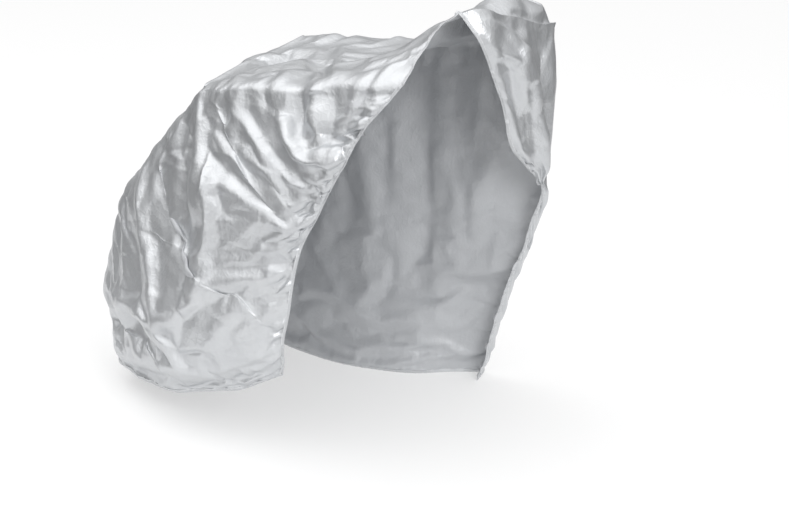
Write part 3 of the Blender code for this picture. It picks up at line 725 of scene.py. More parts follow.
def edge_fade(s: np.ndarray, t: np.ndarray, along: float, across: float) -> np.ndarray:
    """Returns 0 on a panel's edges and 1 in its middle.

    Args:
        s: the share of the panel's length at each place.
        t: the share of its height.
        along: the share of the length over which it rises.
        across: the share of the height over which it rises.

    Returns:
        The fade at each place.
    """
    return soft_step(np.minimum(s, 1 - s) / along) * soft_step(np.minimum(t, 1 - t) / across)


def fold_height(a: np.ndarray, b: np.ndarray, folds: tuple[Fold, ...], shape: Shape) -> np.ndarray:
    """Returns how far the folds raise each place.

    Args:
        a: the panel's first coordinate at each place.
        b: its second coordinate at each place.
        folds: the folds.
        shape: how they are rounded across.

    Returns:
        The height at each place, in metres.
    """
    total = np.zeros(a.shape)
    for f in folds:
        knots = np.array([(f.a0, f.b0), (f.a1, f.b1), (f.a2, f.b2)])
        if shape is not Shape.CREASE:
            line = knots
        else:
            # A crease bends softly at its middle place.
            t = np.linspace(0, 1, 7)[:, None]
            middle = 2 * knots[1] - 0.5 * (knots[0] + knots[2])
            line = (1 - t) ** 2 * knots[0] + 2 * t * (1 - t) * middle + t**2 * knots[2]
        reach = np.full(a.shape, np.inf)
        share = np.zeros(a.shape)
        for k, (p, q) in enumerate(zip(line, line[1:])):
            run = q - p
            at = np.clip(((a - p[0]) * run[0] + (b - p[1]) * run[1]) / (run @ run), 0, 1)
            here = np.hypot(a - p[0] - at * run[0], b - p[1] - at * run[1])
            share = np.where(here < reach, (k + at) / (len(line) - 1), share)
            reach = np.minimum(reach, here)
        if shape is Shape.ROLL:
            total += f.height * np.exp(-((reach / f.width) ** 2))
        elif shape is Shape.TENT:
            total += f.height * np.clip(1 - reach / (TENT_REACH * f.width), 0, None)
        else:
            # The crest is a little blunt, and the line dies out towards both its ends.
            blunt = 0.25 * f.width
            across = np.exp(-(np.hypot(reach, blunt) - blunt) / f.width)
            total += f.height * across * np.sqrt(np.clip(4 * share * (1 - share), 0.0, 1.0))
    return total


# ----------------------------------------
# Materials.


def linear(colour: str) -> tuple[float, float, float, float]:
    """Returns an sRGB hex colour as linear RGBA.

    Args:
        colour: the colour, such as "#C8CACC".

    Returns:
        Its linear red, green, blue and an alpha of 1.
    """
    parts = [int(colour[k:k + 2], 16) / 255 for k in (1, 3, 5)]
    red, green, blue = [p / 12.92 if p <= 0.04045 else ((p + 0.055) / 1.055) ** 2.4 for p in parts]
    return red, green, blue, 1.0


def add_node(
    tree: bpy.types.NodeTree, kind: str, inputs: dict[str | int, object], **settings: object
) -> bpy.types.Node:
    """Adds one node with its settings and links.

    Args:
        tree: the node tree that it goes into.
        kind: the node's type name.
        inputs: each input's value, or the socket that feeds it.
        **settings: the node's own properties.

    Returns:
        The new node.
    """
    node = tree.nodes.new(kind)
    for name, value in settings.items():
        setattr(node, name, value)
    for name, value in inputs.items():
        if isinstance(value, bpy.types.NodeSocket):
            tree.links.new(value, node.inputs[name])
        else:
            node.inputs[name].default_value = value
    return node


def bare_material(name: str) -> bpy.types.Material:
    """Makes a material with no nodes.

    Args:
        name: its name.

    Returns:
        The material.
    """
    made = bpy.data.materials.new(name)
    made.use_nodes = True
    made.node_tree.nodes.clear()
    return made


@dataclass(frozen=True)
class CoatedCloth:
    """Polyester taffeta with a thin silver coating.

    The coating gives broad soft patches of shine, and each sharp crease flashes as a thin bright line.
    """

    name: str
    light: str
    dark: str
    metallic: float
    roughness: float
    cloud_mm: float = 90.0  # size of the slow changes in the coating
    crinkle_mm: float = 26.0  # size of the small flat facets between crinkles
    thread_mm: float = 1.1  # real threads lie 0.3 mm apart, drawn coarser so that they show

    def material(self) -> bpy.types.Material:
        """Makes the node material.

        Returns:
            The material.
        """
        made = bare_material(self.name)
        tree = made.node_tree
        place = add_node(tree, "ShaderNodeTexCoord", {})
        on_piece = place.outputs["Object"]
        clouds = add_node(
            tree, "ShaderNodeTexNoise",
            {"Vector": on_piece, "Scale": 1 / (self.cloud_mm * MILLIMETRE), "Detail": 3.0, "Roughness": 0.6},
        )
        colour = add_node(
            tree, "ShaderNodeMix",
            {0: clouds.outputs["Fac"], 6: linear(self.dark), 7: linear(self.light)},
            data_type="RGBA",
        )
        gloss = add_node(
            tree, "ShaderNodeMapRange",
            {"Value": clouds.outputs["Fac"], 3: self.roughness + 0.06, 4: self.roughness - 0.06},
        )
        # Straight crinkle lines: the edges of two nets of cells, one stretched along the way the cloth hangs.
        nets = []
        for share, stretch in ((1.0, (1.0, 1.0, 0.45)), (0.45, (1.0, 1.0, 0.8))):
            turned = add_node(
                tree, "ShaderNodeMapping",
                {"Vector": on_piece, "Rotation": (0.3, 0.25, share), "Scale": stretch},
            )
            net = add_node(
                tree, "ShaderNodeTexVoronoi",
                {"Vector": turned.outputs[0], "Scale": 1 / (self.crinkle_mm * share * MILLIMETRE)},
                feature="DISTANCE_TO_EDGE",
            )
            line = add_node(
                tree, "ShaderNodeMapRange",
                {"Value": net.outputs["Distance"], 1: 0.0, 2: 0.22, 3: 1.0, 4: 0.0},
            )
            nets.append(line)
        both = add_node(
            tree, "ShaderNodeMath",
            {0: nets[0].outputs[0], 1: nets[1].outputs[0]},
            operation="ADD",
        )
        crinkle = add_node(
            tree, "ShaderNodeBump",
            {"Height": both.outputs[0], "Strength": 0.35, "Distance": 0.8 * MILLIMETRE},
        )
        on_cloth = add_node(
            tree, "ShaderNodeMapping",
            {"Vector": place.outputs["UV"], "Scale": (1 / (self.thread_mm * MILLIMETRE),) * 3},
        )
        weave = add_node(tree, "ShaderNodeTexChecker", {"Vector": on_cloth.outputs[0], "Scale": 1.0})
        threads = add_node(
            tree, "ShaderNodeBump",
            {"Height": weave.outputs["Fac"], "Normal": crinkle.outputs[0], "Strength": 0.06,
             "Distance": 0.1 * MILLIMETRE},
        )
        shader = add_node(
            tree, "ShaderNodeBsdfPrincipled",
            {"Base Color": colour.outputs[2], "Roughness": gloss.outputs[0], "Normal": threads.outputs[0],
             "Metallic": self.metallic, "Coat Weight": 0.15, "Coat Roughness": 0.25},
        )
        add_node(tree, "ShaderNodeOutputMaterial", {"Surface": shader.outputs[0]})
        return made


@dataclass(frozen=True)
class WovenElastic:
    """Narrow woven elastic in pale silver, matt beside the coated cloth.

    Its ribs catch the light in short bars, and one row of paler stitches runs along it.
    """

    name: str = "woven_elastic"
    light: str = "#D0D2D4"
    dark: str = "#9EA0A3"
    thread: str = "#E4E5E7"
    rib_mm: float = 1.8  # real ribs lie about 0.8 mm apart, drawn coarser so that they show
    stitch_mm: float = 3.5  # from one stitch to the next
    row_mm: float = 4.5  # how far round the band the stitches lie

    def material(self) -> bpy.types.Material:
        """Makes the node material.

        Returns:
            The material.
        """
        made = bare_material(self.name)
        tree = made.node_tree
        place = add_node(tree, "ShaderNodeTexCoord", {})
        ribs = add_node(
            tree, "ShaderNodeTexWave",
            {"Vector": place.outputs["UV"], "Scale": 0.314 / (self.rib_mm * MILLIMETRE), "Distortion": 0.6,
             "Detail": 1.0},
            bands_direction="X",
        )
        colour = add_node(
            tree, "ShaderNodeMix",
            {0: ribs.outputs["Fac"], 6: linear(self.dark), 7: linear(self.light)},
            data_type="RGBA",
        )
        on_band = add_node(tree, "ShaderNodeSeparateXYZ", {0: place.outputs["UV"]})
        pitch = self.stitch_mm * MILLIMETRE
        within = add_node(tree, "ShaderNodeMath", {0: on_band.outputs["X"], 1: pitch}, operation="MODULO")
        covered = add_node(
            tree, "ShaderNodeMath", {0: within.outputs[0], 1: 0.65 * pitch}, operation="LESS_THAN"
        )
        in_row = add_node(
            tree, "ShaderNodeMath",
            {0: on_band.outputs["Y"], 1: self.row_mm * MILLIMETRE, 2: 0.35 * MILLIMETRE},
            operation="COMPARE",
        )
        stitch = add_node(
            tree, "ShaderNodeMath", {0: covered.outputs[0], 1: in_row.outputs[0]}, operation="MULTIPLY"
        )
        sewn = add_node(
            tree, "ShaderNodeMix",
            {0: stitch.outputs[0], 6: colour.outputs[2], 7: linear(self.thread)},
            data_type="RGBA",
        )
        raised = add_node(
            tree, "ShaderNodeMath", {0: ribs.outputs["Fac"], 1: stitch.outputs[0]}, operation="ADD"
        )
        bump = add_node(
            tree, "ShaderNodeBump",
            {"Height": raised.outputs[0], "Strength": 0.4, "Distance": 0.4 * MILLIMETRE},
        )
        shader = add_node(
            tree, "ShaderNodeBsdfPrincipled",
            {"Base Color": sewn.outputs[2], "Normal": bump.outputs[0], "Metallic": 0.2, "Roughness": 0.5,
             "Sheen Weight": 0.2},
        )
        add_node(tree, "ShaderNodeOutputMaterial", {"Surface": shader.outputs[0]})
        return made


# The outside shines most. The inside is the same cloth with a duller back, and its darker, greyer colour is
# painted shade of the hollow inside the cover.
OUTSIDE = CoatedCloth("silver_coated_taffeta", "#CED0D2", "#BCBEC1", 0.55, 0.40)
INSIDE_WITH_PAINTED_SHADE = CoatedCloth("taffeta_back_painted_shade", "#BABCBF", "#ACAEB1", 0.15, 0.50)


# ----------------------------------------
# The panels.


def refined(grid: np.ndarray, columns: int, rows: int) -> np.ndarray:
    """Returns a grid with more places, on a smooth surface through the old ones.

    Args:
        grid: the coarse points.
        columns: how many columns of cells the result has.
        rows: how many rows of cells it has.

    Returns:
        The fine points.
    """
    for axis, count in ((0, columns), (1, rows)):
        points = np.moveaxis(grid, axis, 0)
        last = len(points) - 1
        padded = np.concatenate([2 * points[:1] - points[1:2], points, 2 * points[-1:] - points[-2:-1]])
        at = np.linspace(0, last, count + 1)
        start = np.minimum(at.astype(int), last - 1)
        t = (at - start)[:, None, None]
        grid = np.moveaxis(between(*(padded[start + k] for k in range(4)), t), 0, axis)
    return grid


def pick_alone(made: bpy.types.Object) -> None:
    """Selects one object and nothing else, and makes it the active one.

    Args:
        made: the object.
    """
    bpy.ops.object.select_all(action="DESELECT")
    bpy.context.view_layer.objects.active = made
    made.select_set(True)


def grid_mesh(name: str, grid: np.ndarray, outward: float) -> bpy.types.Mesh:
    """Makes a mesh of four-sided faces through a grid of points.

    Args:
        name: the mesh's name.
        grid: the points.
        outward: 1 or -1, which of the two sides is the outside.

    Returns:
        The new mesh.
    """
    wide, high = grid.shape[:2]
    index = np.arange(wide * high).reshape(wide, high)
    corners = [index[:-1, :-1], index[1:, :-1], index[1:, 1:], index[:-1, 1:]]
    if outward < 0:
        corners = corners[::-1]
    quads = np.stack([c.ravel() for c in corners], axis=1)
    mesh = bpy.data.meshes.new(name)
    mesh.from_pydata(grid.reshape(-1, 3).tolist(), [], quads.tolist())
    return mesh


@dataclass(frozen=True)
class Settling:
    """A cloth simulation that lets a panel, held at its edges, sag and buckle into folds of its own."""

    columns: int  # cells of its grid, which is coarser than the finished one
    rows: int
    slack: float = 0.012  # how much longer the cloth is than its first shape
    hold: float = 0.12  # how firmly its inside stays near its first shape, from 0 to 1
    bending: float = 2.0
    stretching: float = 20.0
    gravity: float = 0.12  # most of its weight lies on what is under it
    frames: int = 20

    def settled(self, grid: np.ndarray) -> np.ndarray:
        """Returns a panel's grid after it has settled.

        Args:
            grid: the panel's points before.

        Returns:
            As many points after.
        """
        bpy.ops.object.select_all(action="DESELECT")
        mesh = grid_mesh("settling", grid, 1.0)
        cloth = bpy.data.objects.new("settling", mesh)
        bpy.context.collection.objects.link(cloth)
        wide, high = grid.shape[:2]
        inside = np.zeros((wide, high), bool)
        inside[1:-1, 1:-1] = True
        held = cloth.vertex_groups.new(name="held")
        held.add(np.nonzero(inside.ravel())[0].tolist(), self.hold, "REPLACE")
        held.add(np.nonzero(~inside.ravel())[0].tolist(), 1.0, "REPLACE")
        modifier = cloth.modifiers.new("cloth", "CLOTH")
        settings = modifier.settings
        settings.quality = 5
        settings.mass = 0.15
        settings.tension_stiffness = self.stretching
        settings.compression_stiffness = self.stretching
        settings.shear_stiffness = 0.4 * self.stretching
        settings.bending_stiffness = self.bending
        settings.vertex_group_mass = held.name
        settings.shrink_min = -self.slack
        settings.effector_weights.gravity = self.gravity
        modifier.collision_settings.use_collision = False
        modifier.point_cache.frame_start = 1
        modifier.point_cache.frame_end = self.frames
        scene = bpy.context.scene
        for step in range(1, self.frames + 1):
            scene.frame_set(step)
        result = cloth.evaluated_get(bpy.context.evaluated_depsgraph_get())
        places = np.zeros(3 * wide * high)
        result.data.vertices.foreach_get("co", places)
        bpy.data.objects.remove(cloth)
        bpy.data.meshes.remove(mesh)
        scene.frame_set(1)
        return places.reshape(wide, high, 3)


@dataclass
class Panel:
    """One cut panel of cloth, kept as a grid of points from the front and from the bottom."""

    name: str
    node: str  # the solid that it stands for
    columns: int
    rows: int
    settling: Settling
    flat: tuple[float, float]  # its cut size, in metres
    area: float  # the cloth in it, in square metres
    outward: float  # 1 or -1, which side of its grid is the outside

    def lay_out(self) -> np.ndarray:
        """Returns the panel's grid, stretched between its edges with no folds."""
        raise NotImplementedError

    def shares(self) -> tuple[np.ndarray, np.ndarray]:
        """Returns the shares of the panel's length and height at its grid's places."""
        return np.linspace(0, 1, self.columns + 1)[:, None], np.linspace(0, 1, self.rows + 1)[None, :]

    def main_relief(self, grid: np.ndarray) -> np.ndarray:
        """Returns the height of the swells and main folds, the same as the solid's."""
        raise NotImplementedError

    def facet_relief(self, grid: np.ndarray) -> np.ndarray:
        """Returns the height of the shoulders and the larger facets, which the cloth then settles from."""
        raise NotImplementedError

    def fine_relief(self, grid: np.ndarray) -> np.ndarray:
        """Returns the height of the creases and the gathers."""
        raise NotImplementedError

    def shaped(self) -> np.ndarray:
        """Shapes the panel: its edges, main folds, furrows and facets, then its settling and fine creases.

        Returns:
            The panel's finished grid.
        """
        grid = self.lay_out()
        grid = grid + self.main_relief(grid)[..., None] * grid_normals(grid, self.outward)
        grid = furrowed(wandered(grid))
        grid = grid + self.facet_relief(grid)[..., None] * grid_normals(grid, self.outward)
        # The cloth settles on a coarser grid; the fine one takes over how far each place moved.
        coarse = refined(grid, self.settling.columns, self.settling.rows)
        grid = grid + refined(self.settling.settled(coarse) - coarse, self.columns, self.rows)
        return grid + self.fine_relief(grid)[..., None] * grid_normals(grid, self.outward)

    def build(self, grid: np.ndarray, faces: list[bpy.types.Material]) -> bpy.types.Object:
        """Makes the panel's mesh, gives it its thickness and both its faces their finish.

        Args:
            grid: the panel's points.
            faces: the outside's material and the inside's.

        Returns:
            The finished sheet.
        """
        mesh = grid_mesh(self.name, grid, self.outward)
        # The cloth's own lengths are its UV map, in metres, for the weave.
        layer = mesh.uv_layers.new(name="cut")
        along = way_from(grid, 0).mean(axis=1)
        up = way_from(grid, 1).mean(axis=0)
        flat_places = np.stack(np.meshgrid(along, up, indexing="ij"), axis=2).reshape(-1, 2)
        loops = np.zeros(len(mesh.loops), int)
        mesh.loops.foreach_get("vertex_index", loops)
        layer.data.foreach_set("uv", flat_places[loops].ravel())
        sheet = bpy.data.objects.new(self.name, mesh)
        bpy.context.collection.objects.link(sheet)
        for face in faces:
            mesh.materials.append(face)
        wall = sheet.modifiers.new("thickness", "SOLIDIFY")
        wall.thickness = SHEET_THICKNESS
        wall.offset = 0.0
        wall.material_offset = 1
        pick_alone(sheet)
        bpy.ops.object.modifier_apply(modifier=wall.name)
        # The cut edges stay sharp, so that no line of shade runs along the seams.
        bpy.ops.object.shade_smooth_by_angle(angle=RIM_ANGLE)
        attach(sheet, "root")
        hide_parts(self.node)
        return sheet


def noise_height(places: np.ndarray, size: float, seed: float) -> np.ndarray:
    """Returns smooth noise between about -1 and 1.

    Args:
        places: where to read it, a grid of points.
        size: the size of its lumps, in metres.
        seed: a number that picks one pattern out of many.

    Returns:
        The noise at each place.
    """
    scaled = places.reshape(-1, places.shape[-1]) / size
    shift = Vector((seed * 7.31, seed * 3.77, seed * 5.13))
    read = np.array([noise.noise(Vector(p) + shift) for p in scaled.tolist()])
    return read.reshape(places.shape[:-1])


@dataclass(frozen=True)
class Gathers:
    """Cloth drawn together by the elastic: ripples square to the edge that widen and die out away from it."""

    pitch: float  # from one ripple to the next at the edge, in metres
    height: float
    reach: float  # how far in the finest ripples go
    seed: float

    def relief(self, along: np.ndarray, way_in: np.ndarray) -> np.ndarray:
        """Returns the ripples' height.

        Args:
            along: how far along the free edge each place lies, in metres.
            way_in: how far it lies from that edge, in metres.

        Returns:
            The height at each place, in metres.
        """
        total = np.zeros(np.broadcast(along, way_in).shape)
        for order, share in enumerate((1.0, 0.9, 0.8)):
            pitch = self.pitch * 2.3**order
            reach = self.reach * 2.2**order
            # Read stretched inwards, so that the ripples run square to the edge.
            places = np.stack(
                [along + 0 * way_in, way_in * 0.22 + 0 * along, np.full(total.shape, 0.37 * order)], axis=2
            )
            ripple = noise_height(places, 0.62 * pitch, self.seed + order)
            tightness = 0.65 + 0.9 * noise_height(places, 9 * self.pitch, self.seed + 5.5)
            drawn = np.clip(tightness, 0.15, 1.3) * np.exp(-way_in / reach)
            total += share * self.height * 1.6 * ripple * drawn
        return total


def softened(height: np.ndarray, passes: int) -> np.ndarray:
    """Returns heights with their sharp lines made a little blunt.

    Args:
        height: the height at each place of a grid.
        passes: how many times each place takes in its neighbours.

    Returns:
        The softened heights.
    """
    for _ in range(passes):
        for axis in (0, 1):
            padded = np.concatenate(
                [np.take(height, [0], axis), height, np.take(height, [-1], axis)], axis=axis
            )
            count = height.shape[axis]
            before, after = np.take(padded, range(count), axis), np.take(padded, range(2, count + 2), axis)
            height = 0.25 * before + 0.5 * height + 0.25 * after
    return height


@dataclass(frozen=True)
class Facets:
    """Crisp cloth between its creases: flat facets that meet in straight lines."""

    spacing: float  # between the free corners, in metres
    height: float  # how far a free corner lies in or out
    seed: int
    passes: int = 2  # how blunt the lines are
    clear: float = 0.4  # free corners keep this share of the spacing away from creases

    def relief(self, a: np.ndarray, b: np.ndarray, crests: tuple[Crest, ...]) -> np.ndarray:
        """Returns the facets' height.

        Args:
            a: the panel's first coordinate at each place.
            b: its second coordinate at each place.
            crests: lines that facets meet in.

        Returns:
            The height at each place, in metres.
        """
        draw = np.random.default_rng(self.seed)
        low, high = (np.array([pick(a), pick(b)]) for pick in (np.min, np.max))
        steps = [
            np.arange(low[k] - 1.5 * self.spacing, high[k] + 2.5 * self.spacing, self.spacing) for k in (0, 1)
        ]
        free = np.stack(np.meshgrid(*steps, indexing="ij"), axis=2).reshape(-1, 2)
        free += draw.uniform(-0.4, 0.4, free.shape) * self.spacing
        free_heights = self.height * np.clip(draw.normal(0, 1, len(free)), -1.6, 1.6)
        corners, heights, lines = [], [], []
        clear = np.ones(len(free), bool)
        for crest in crests:
            knots = np.array(crest)[:, :2]
            first = len(corners)
            corners += knots.tolist()
            heights += (np.array(crest)[:, 2] * MILLIMETRE).tolist()
            for k, run in enumerate(np.diff(knots, axis=0)):
                lines.append((first + k, first + k + 1))
                at = np.clip((free - knots[k]) @ run / (run @ run), 0, 1)
                away = np.linalg.norm(free - knots[k] - at[:, None] * run, axis=1)
                clear &= away > self.clear * self.spacing
        corners += free[clear].tolist()
        heights = np.array(heights + free_heights[clear].tolist())
        points, edges, faces, sources = delaunay_2d_cdt([Vector(p) for p in corners], lines, [], 0, 1e-6)[:4]
        rise = np.array([heights[source].mean() if source else np.nan for source in sources])
        for k in np.nonzero(np.isnan(rise))[0]:
            # Two creases cross here, at a height between those of their ends.
            rise[k] = np.nanmean([rise[sum(edge) - k] for edge in edges if k in edge])
        net = BVHTree.FromPolygons([(p.x, p.y, h) for p, h in zip(points, rise)], faces)
        down = Vector((0.0, 0.0, -1.0))
        height = [net.ray_cast(Vector((p, q, 1.0)), down)[0].z for p, q in zip(a.flat, b.flat)]
        return softened(np.array(height).reshape(a.shape), self.passes)


def wandered(grid: np.ndarray) -> np.ndarray:
    """Returns points moved a little by one slow field, so that no edge or seam runs ruler-straight.

    Panels that share a seam still meet there, because the field depends on the place alone.

    Args:
        grid: the points.

    Returns:
        The moved points.
    """
    noise.seed_set(WANDER_SEED)  # without it, noise_vector starts from the clock
    moved = grid.reshape(-1, 3).copy()
    for size, reach in WANDERING:
        field = [noise.noise_vector(Vector(p) / size) for p in grid.reshape(-1, 3).tolist()]
        moved += reach * np.array(field)
    moved = moved.reshape(grid.shape)
    share = soft_step((grid[..., 2] - CAD_BOX[0][2]) / FLAT_ON_FLOOR)[..., None]
    return share * moved + (1 - share) * grid


def furrowed(grid: np.ndarray) -> np.ndarray:
    """Returns points moved by the furrows, which go on from panel to panel.

    Args:
        grid: the points.

    Returns:
        The moved points.
    """
    moved = grid.copy()
    for furrow in FURROWS:
        line = np.array(furrow.line) - ORIGIN
        reach = np.full(grid.shape[:2], np.inf)
        share = np.zeros(grid.shape[:2])
        for k, (start, end) in enumerate(zip(line, line[1:])):
            run = end - start
            at = np.clip((grid - start) @ run / (run @ run), 0, 1)
            here = np.linalg.norm(grid - start - at[..., None] * run, axis=2)
            share = np.where(here < reach, (k + at) / (len(line) - 1), share)
            reach = np.minimum(reach, here)
        ends = soft_step(4 * np.minimum(share, 1 - share))
        depth = furrow.height * np.exp(-((reach / furrow.width) ** 2)) * ends
        moved += depth[..., None] * np.array(furrow.way)
    return moved


def shoulder(from_seam: np.ndarray, slope: float, reach: float) -> np.ndarray:
    """Returns how far the cloth stands out beside a seam, so that it turns there in a soft shoulder.

    Args:
        from_seam: how far each place lies from the seam.
        slope: how steeply it rises from the seam.
        reach: how far from the seam it is highest.

    Returns:
        The height at each place, in metres.
    """
    return slope * from_seam * np.exp(-from_seam / reach)


@dataclass(frozen=True)
class ScatteredCreases:
    """Small straight creases left by packing and handling, most of them pointing away from one place."""

    count: int
    low: tuple[float, float]
    high: tuple[float, float]
    away_from: tuple[float, float]
    spread: float
    seed: int
    length: tuple[float, float] = (0.030, 0.120)
    width: tuple[float, float] = (0.0040, 0.0075)
    height: tuple[float, float] = (0.0007, 0.0024)

    def folds(self) -> tuple[Fold, ...]:
        """Draws the creases at random places, the same ones each time.

        Returns:
            The creases as folds.
        """
        draw = np.random.default_rng(self.seed)
        made = []
        for _ in range(self.count):
            a, b = draw.uniform(self.low, self.high)
            turn = math.atan2(b - self.away_from[1], a - self.away_from[0]) + draw.normal(0, self.spread)
            half = 0.5 * draw.uniform(*self.length)
            bow = draw.normal(0, 0.08) * half
            da, db = half * math.cos(turn), half * math.sin(turn)
            height = draw.uniform(*self.height) * draw.choice((-1.0, 1.0))
            made.append(
                Fold(a - da, b - db, a - bow * math.sin(turn), b + bow * math.cos(turn), a + da, b + db,
                     draw.uniform(*self.width), height)
            )
        return tuple(made)

    def crests(self) -> tuple[Crest, ...]:
        """Draws the creases in the same way, for facets to meet in.

        Returns:
            The creases as crests, each highest or lowest at its middle.
        """
        end = 0.1 / MILLIMETRE
        return tuple(
            ((f.a0, f.b0, end * f.height), (f.a1, f.b1, f.height / MILLIMETRE), (f.a2, f.b2, end * f.height))
            for f in self.folds()
        )


def calm_near_edge(way_in: np.ndarray, width: float = 0.008) -> np.ndarray:
    """Returns 0 under the band and 1 further in."""
    return soft_step((way_in - EDGE_CALM) / width)


def edge_calm(from_front: np.ndarray, from_hem: np.ndarray, from_seam: np.ndarray) -> np.ndarray:
    """Returns 0 under the band and on the seams, and 1 inside a panel."""
    return calm_near_edge(from_front) * calm_near_edge(from_hem) * soft_step(from_seam / SEAM_CALM)


@dataclass
class NearSidePanel(Panel):
    """The side panel towards the camera, the one that shows most."""

    def lay_out(self) -> np.ndarray:
        """Stretches the panel between its edges.

        Returns:
            Its grid, with no folds.
        """
        s, t = (share.ravel() for share in self.shares())
        return stretched(
            along_curve(NEAR_HEM, s), along_curve(NEAR_SHOULDER, s), along_curve(NEAR_FRONT, t),
            along_curve(NEAR_TAIL, t),
        )

    def main_relief(self, grid: np.ndarray) -> np.ndarray:
        """Returns the height of the swells and main folds, the same as the solid's.

        Args:
            grid: the panel's points.

        Returns:
            The height at each place, in metres.
        """
        s, t = self.shares()
        place = grid + ORIGIN
        swells = swell_height(s, t, NEAR_SWELLS) * edge_fade(s, t, along=0.12, across=0.12)
        folds = fold_height(place[..., 0], place[..., 2], NEAR_FOLDS, Shape.ROLL)
        return swells + folds * edge_fade(s, t, along=0.10, across=0.10)

    def facet_relief(self, grid: np.ndarray) -> np.ndarray:
        """Returns the height of the shoulders and the larger facets, which the cloth then settles from.

        Args:
            grid: the panel's points.

        Returns:
            The height at each place, in metres.
        """
        place = grid + ORIGIN
        from_top, from_tail = way_from(grid, 1, True), way_from(grid, 0, True)
        scattered = ScatteredCreases(
            count=40, low=(-0.20, 0.10), high=(0.75, 0.90), away_from=NEAR_PEAK, spread=0.30, seed=11,
            length=(0.08, 0.20), height=(0.001, 0.003),
        )
        facets = Facets(spacing=0.050, height=0.0011, seed=3, passes=3).relief(
            place[..., 0], place[..., 2], NEAR_CRESTS + scattered.crests()
        )
        # The main folds are crisper than the solid's: flat facets take the place of its round ones.
        round_folds = fold_height(place[..., 0], place[..., 2], NEAR_FOLDS, Shape.ROLL)
        facets -= round_folds * edge_fade(*self.shares(), along=0.10, across=0.10)
        facets += fold_height(place[..., 0], place[..., 2], NEAR_LEAN, Shape.TENT)
        from_front = way_from(grid, 0)
        facets *= calm_near_edge(from_front, width=0.03) * calm_near_edge(way_from(grid, 1), width=0.03)
        facets *= soft_step(np.minimum(from_top, from_tail) / 0.03)
        shoulders = shoulder(from_top, slope=0.32, reach=0.026)
        shoulders += shoulder(from_tail, slope=0.40, reach=0.022)
        return facets + shoulders * soft_step(from_front / 0.03)

    def fine_relief(self, grid: np.ndarray) -> np.ndarray:
        """Returns the height of the creases and the gathers.

        Args:
            grid: the panel's points.

        Returns:
            The height at each place, in metres.
        """
        place = grid + ORIGIN
        a, b = place[..., 0], place[..., 2]
        from_front, from_hem = way_from(grid, 0), way_from(grid, 1)
        from_seam = np.minimum(way_from(grid, 0, True), way_from(grid, 1, True))
        up, back = way_from(grid, 1)[:1], way_from(grid, 0)[:, :1]
        creases = 0.45 * fold_height(a, b, NEAR_CREASES, Shape.CREASE)
        scattered = ScatteredCreases(
            count=70, low=(-0.20, 0.10), high=(0.75, 0.90), away_from=NEAR_PEAK, spread=0.9, seed=12,
            length=(0.02, 0.06),
        )
        creases += Facets(spacing=0.020, height=0.0004, seed=5, passes=1).relief(a, b, scattered.crests())
        # The elastic draws the front edge up into small crumpled facets, unevenly along its run.
        tight = np.interp(up / up.max(), *zip(*NEAR_TIGHTNESS))
        front = Gathers(pitch=0.020, height=0.0050, reach=0.024, seed=1.0).relief(up, from_front)
        crumple = Facets(spacing=0.020, height=0.0095, seed=6, passes=1)
        crumpled = crumple.relief(up + 0 * a, 0.55 * from_front, ())
        rise = 0.35 + 0.65 * soft_step(from_front / 0.012)
        front += crumpled * rise * np.exp(-((from_front / 0.070) ** 2))
        front *= tight
        hem = Gathers(pitch=0.022, height=0.0020, reach=0.018, seed=8.0).relief(back, from_hem)
        total = creases + front + hem
        return total * edge_calm(from_front, from_hem, from_seam)


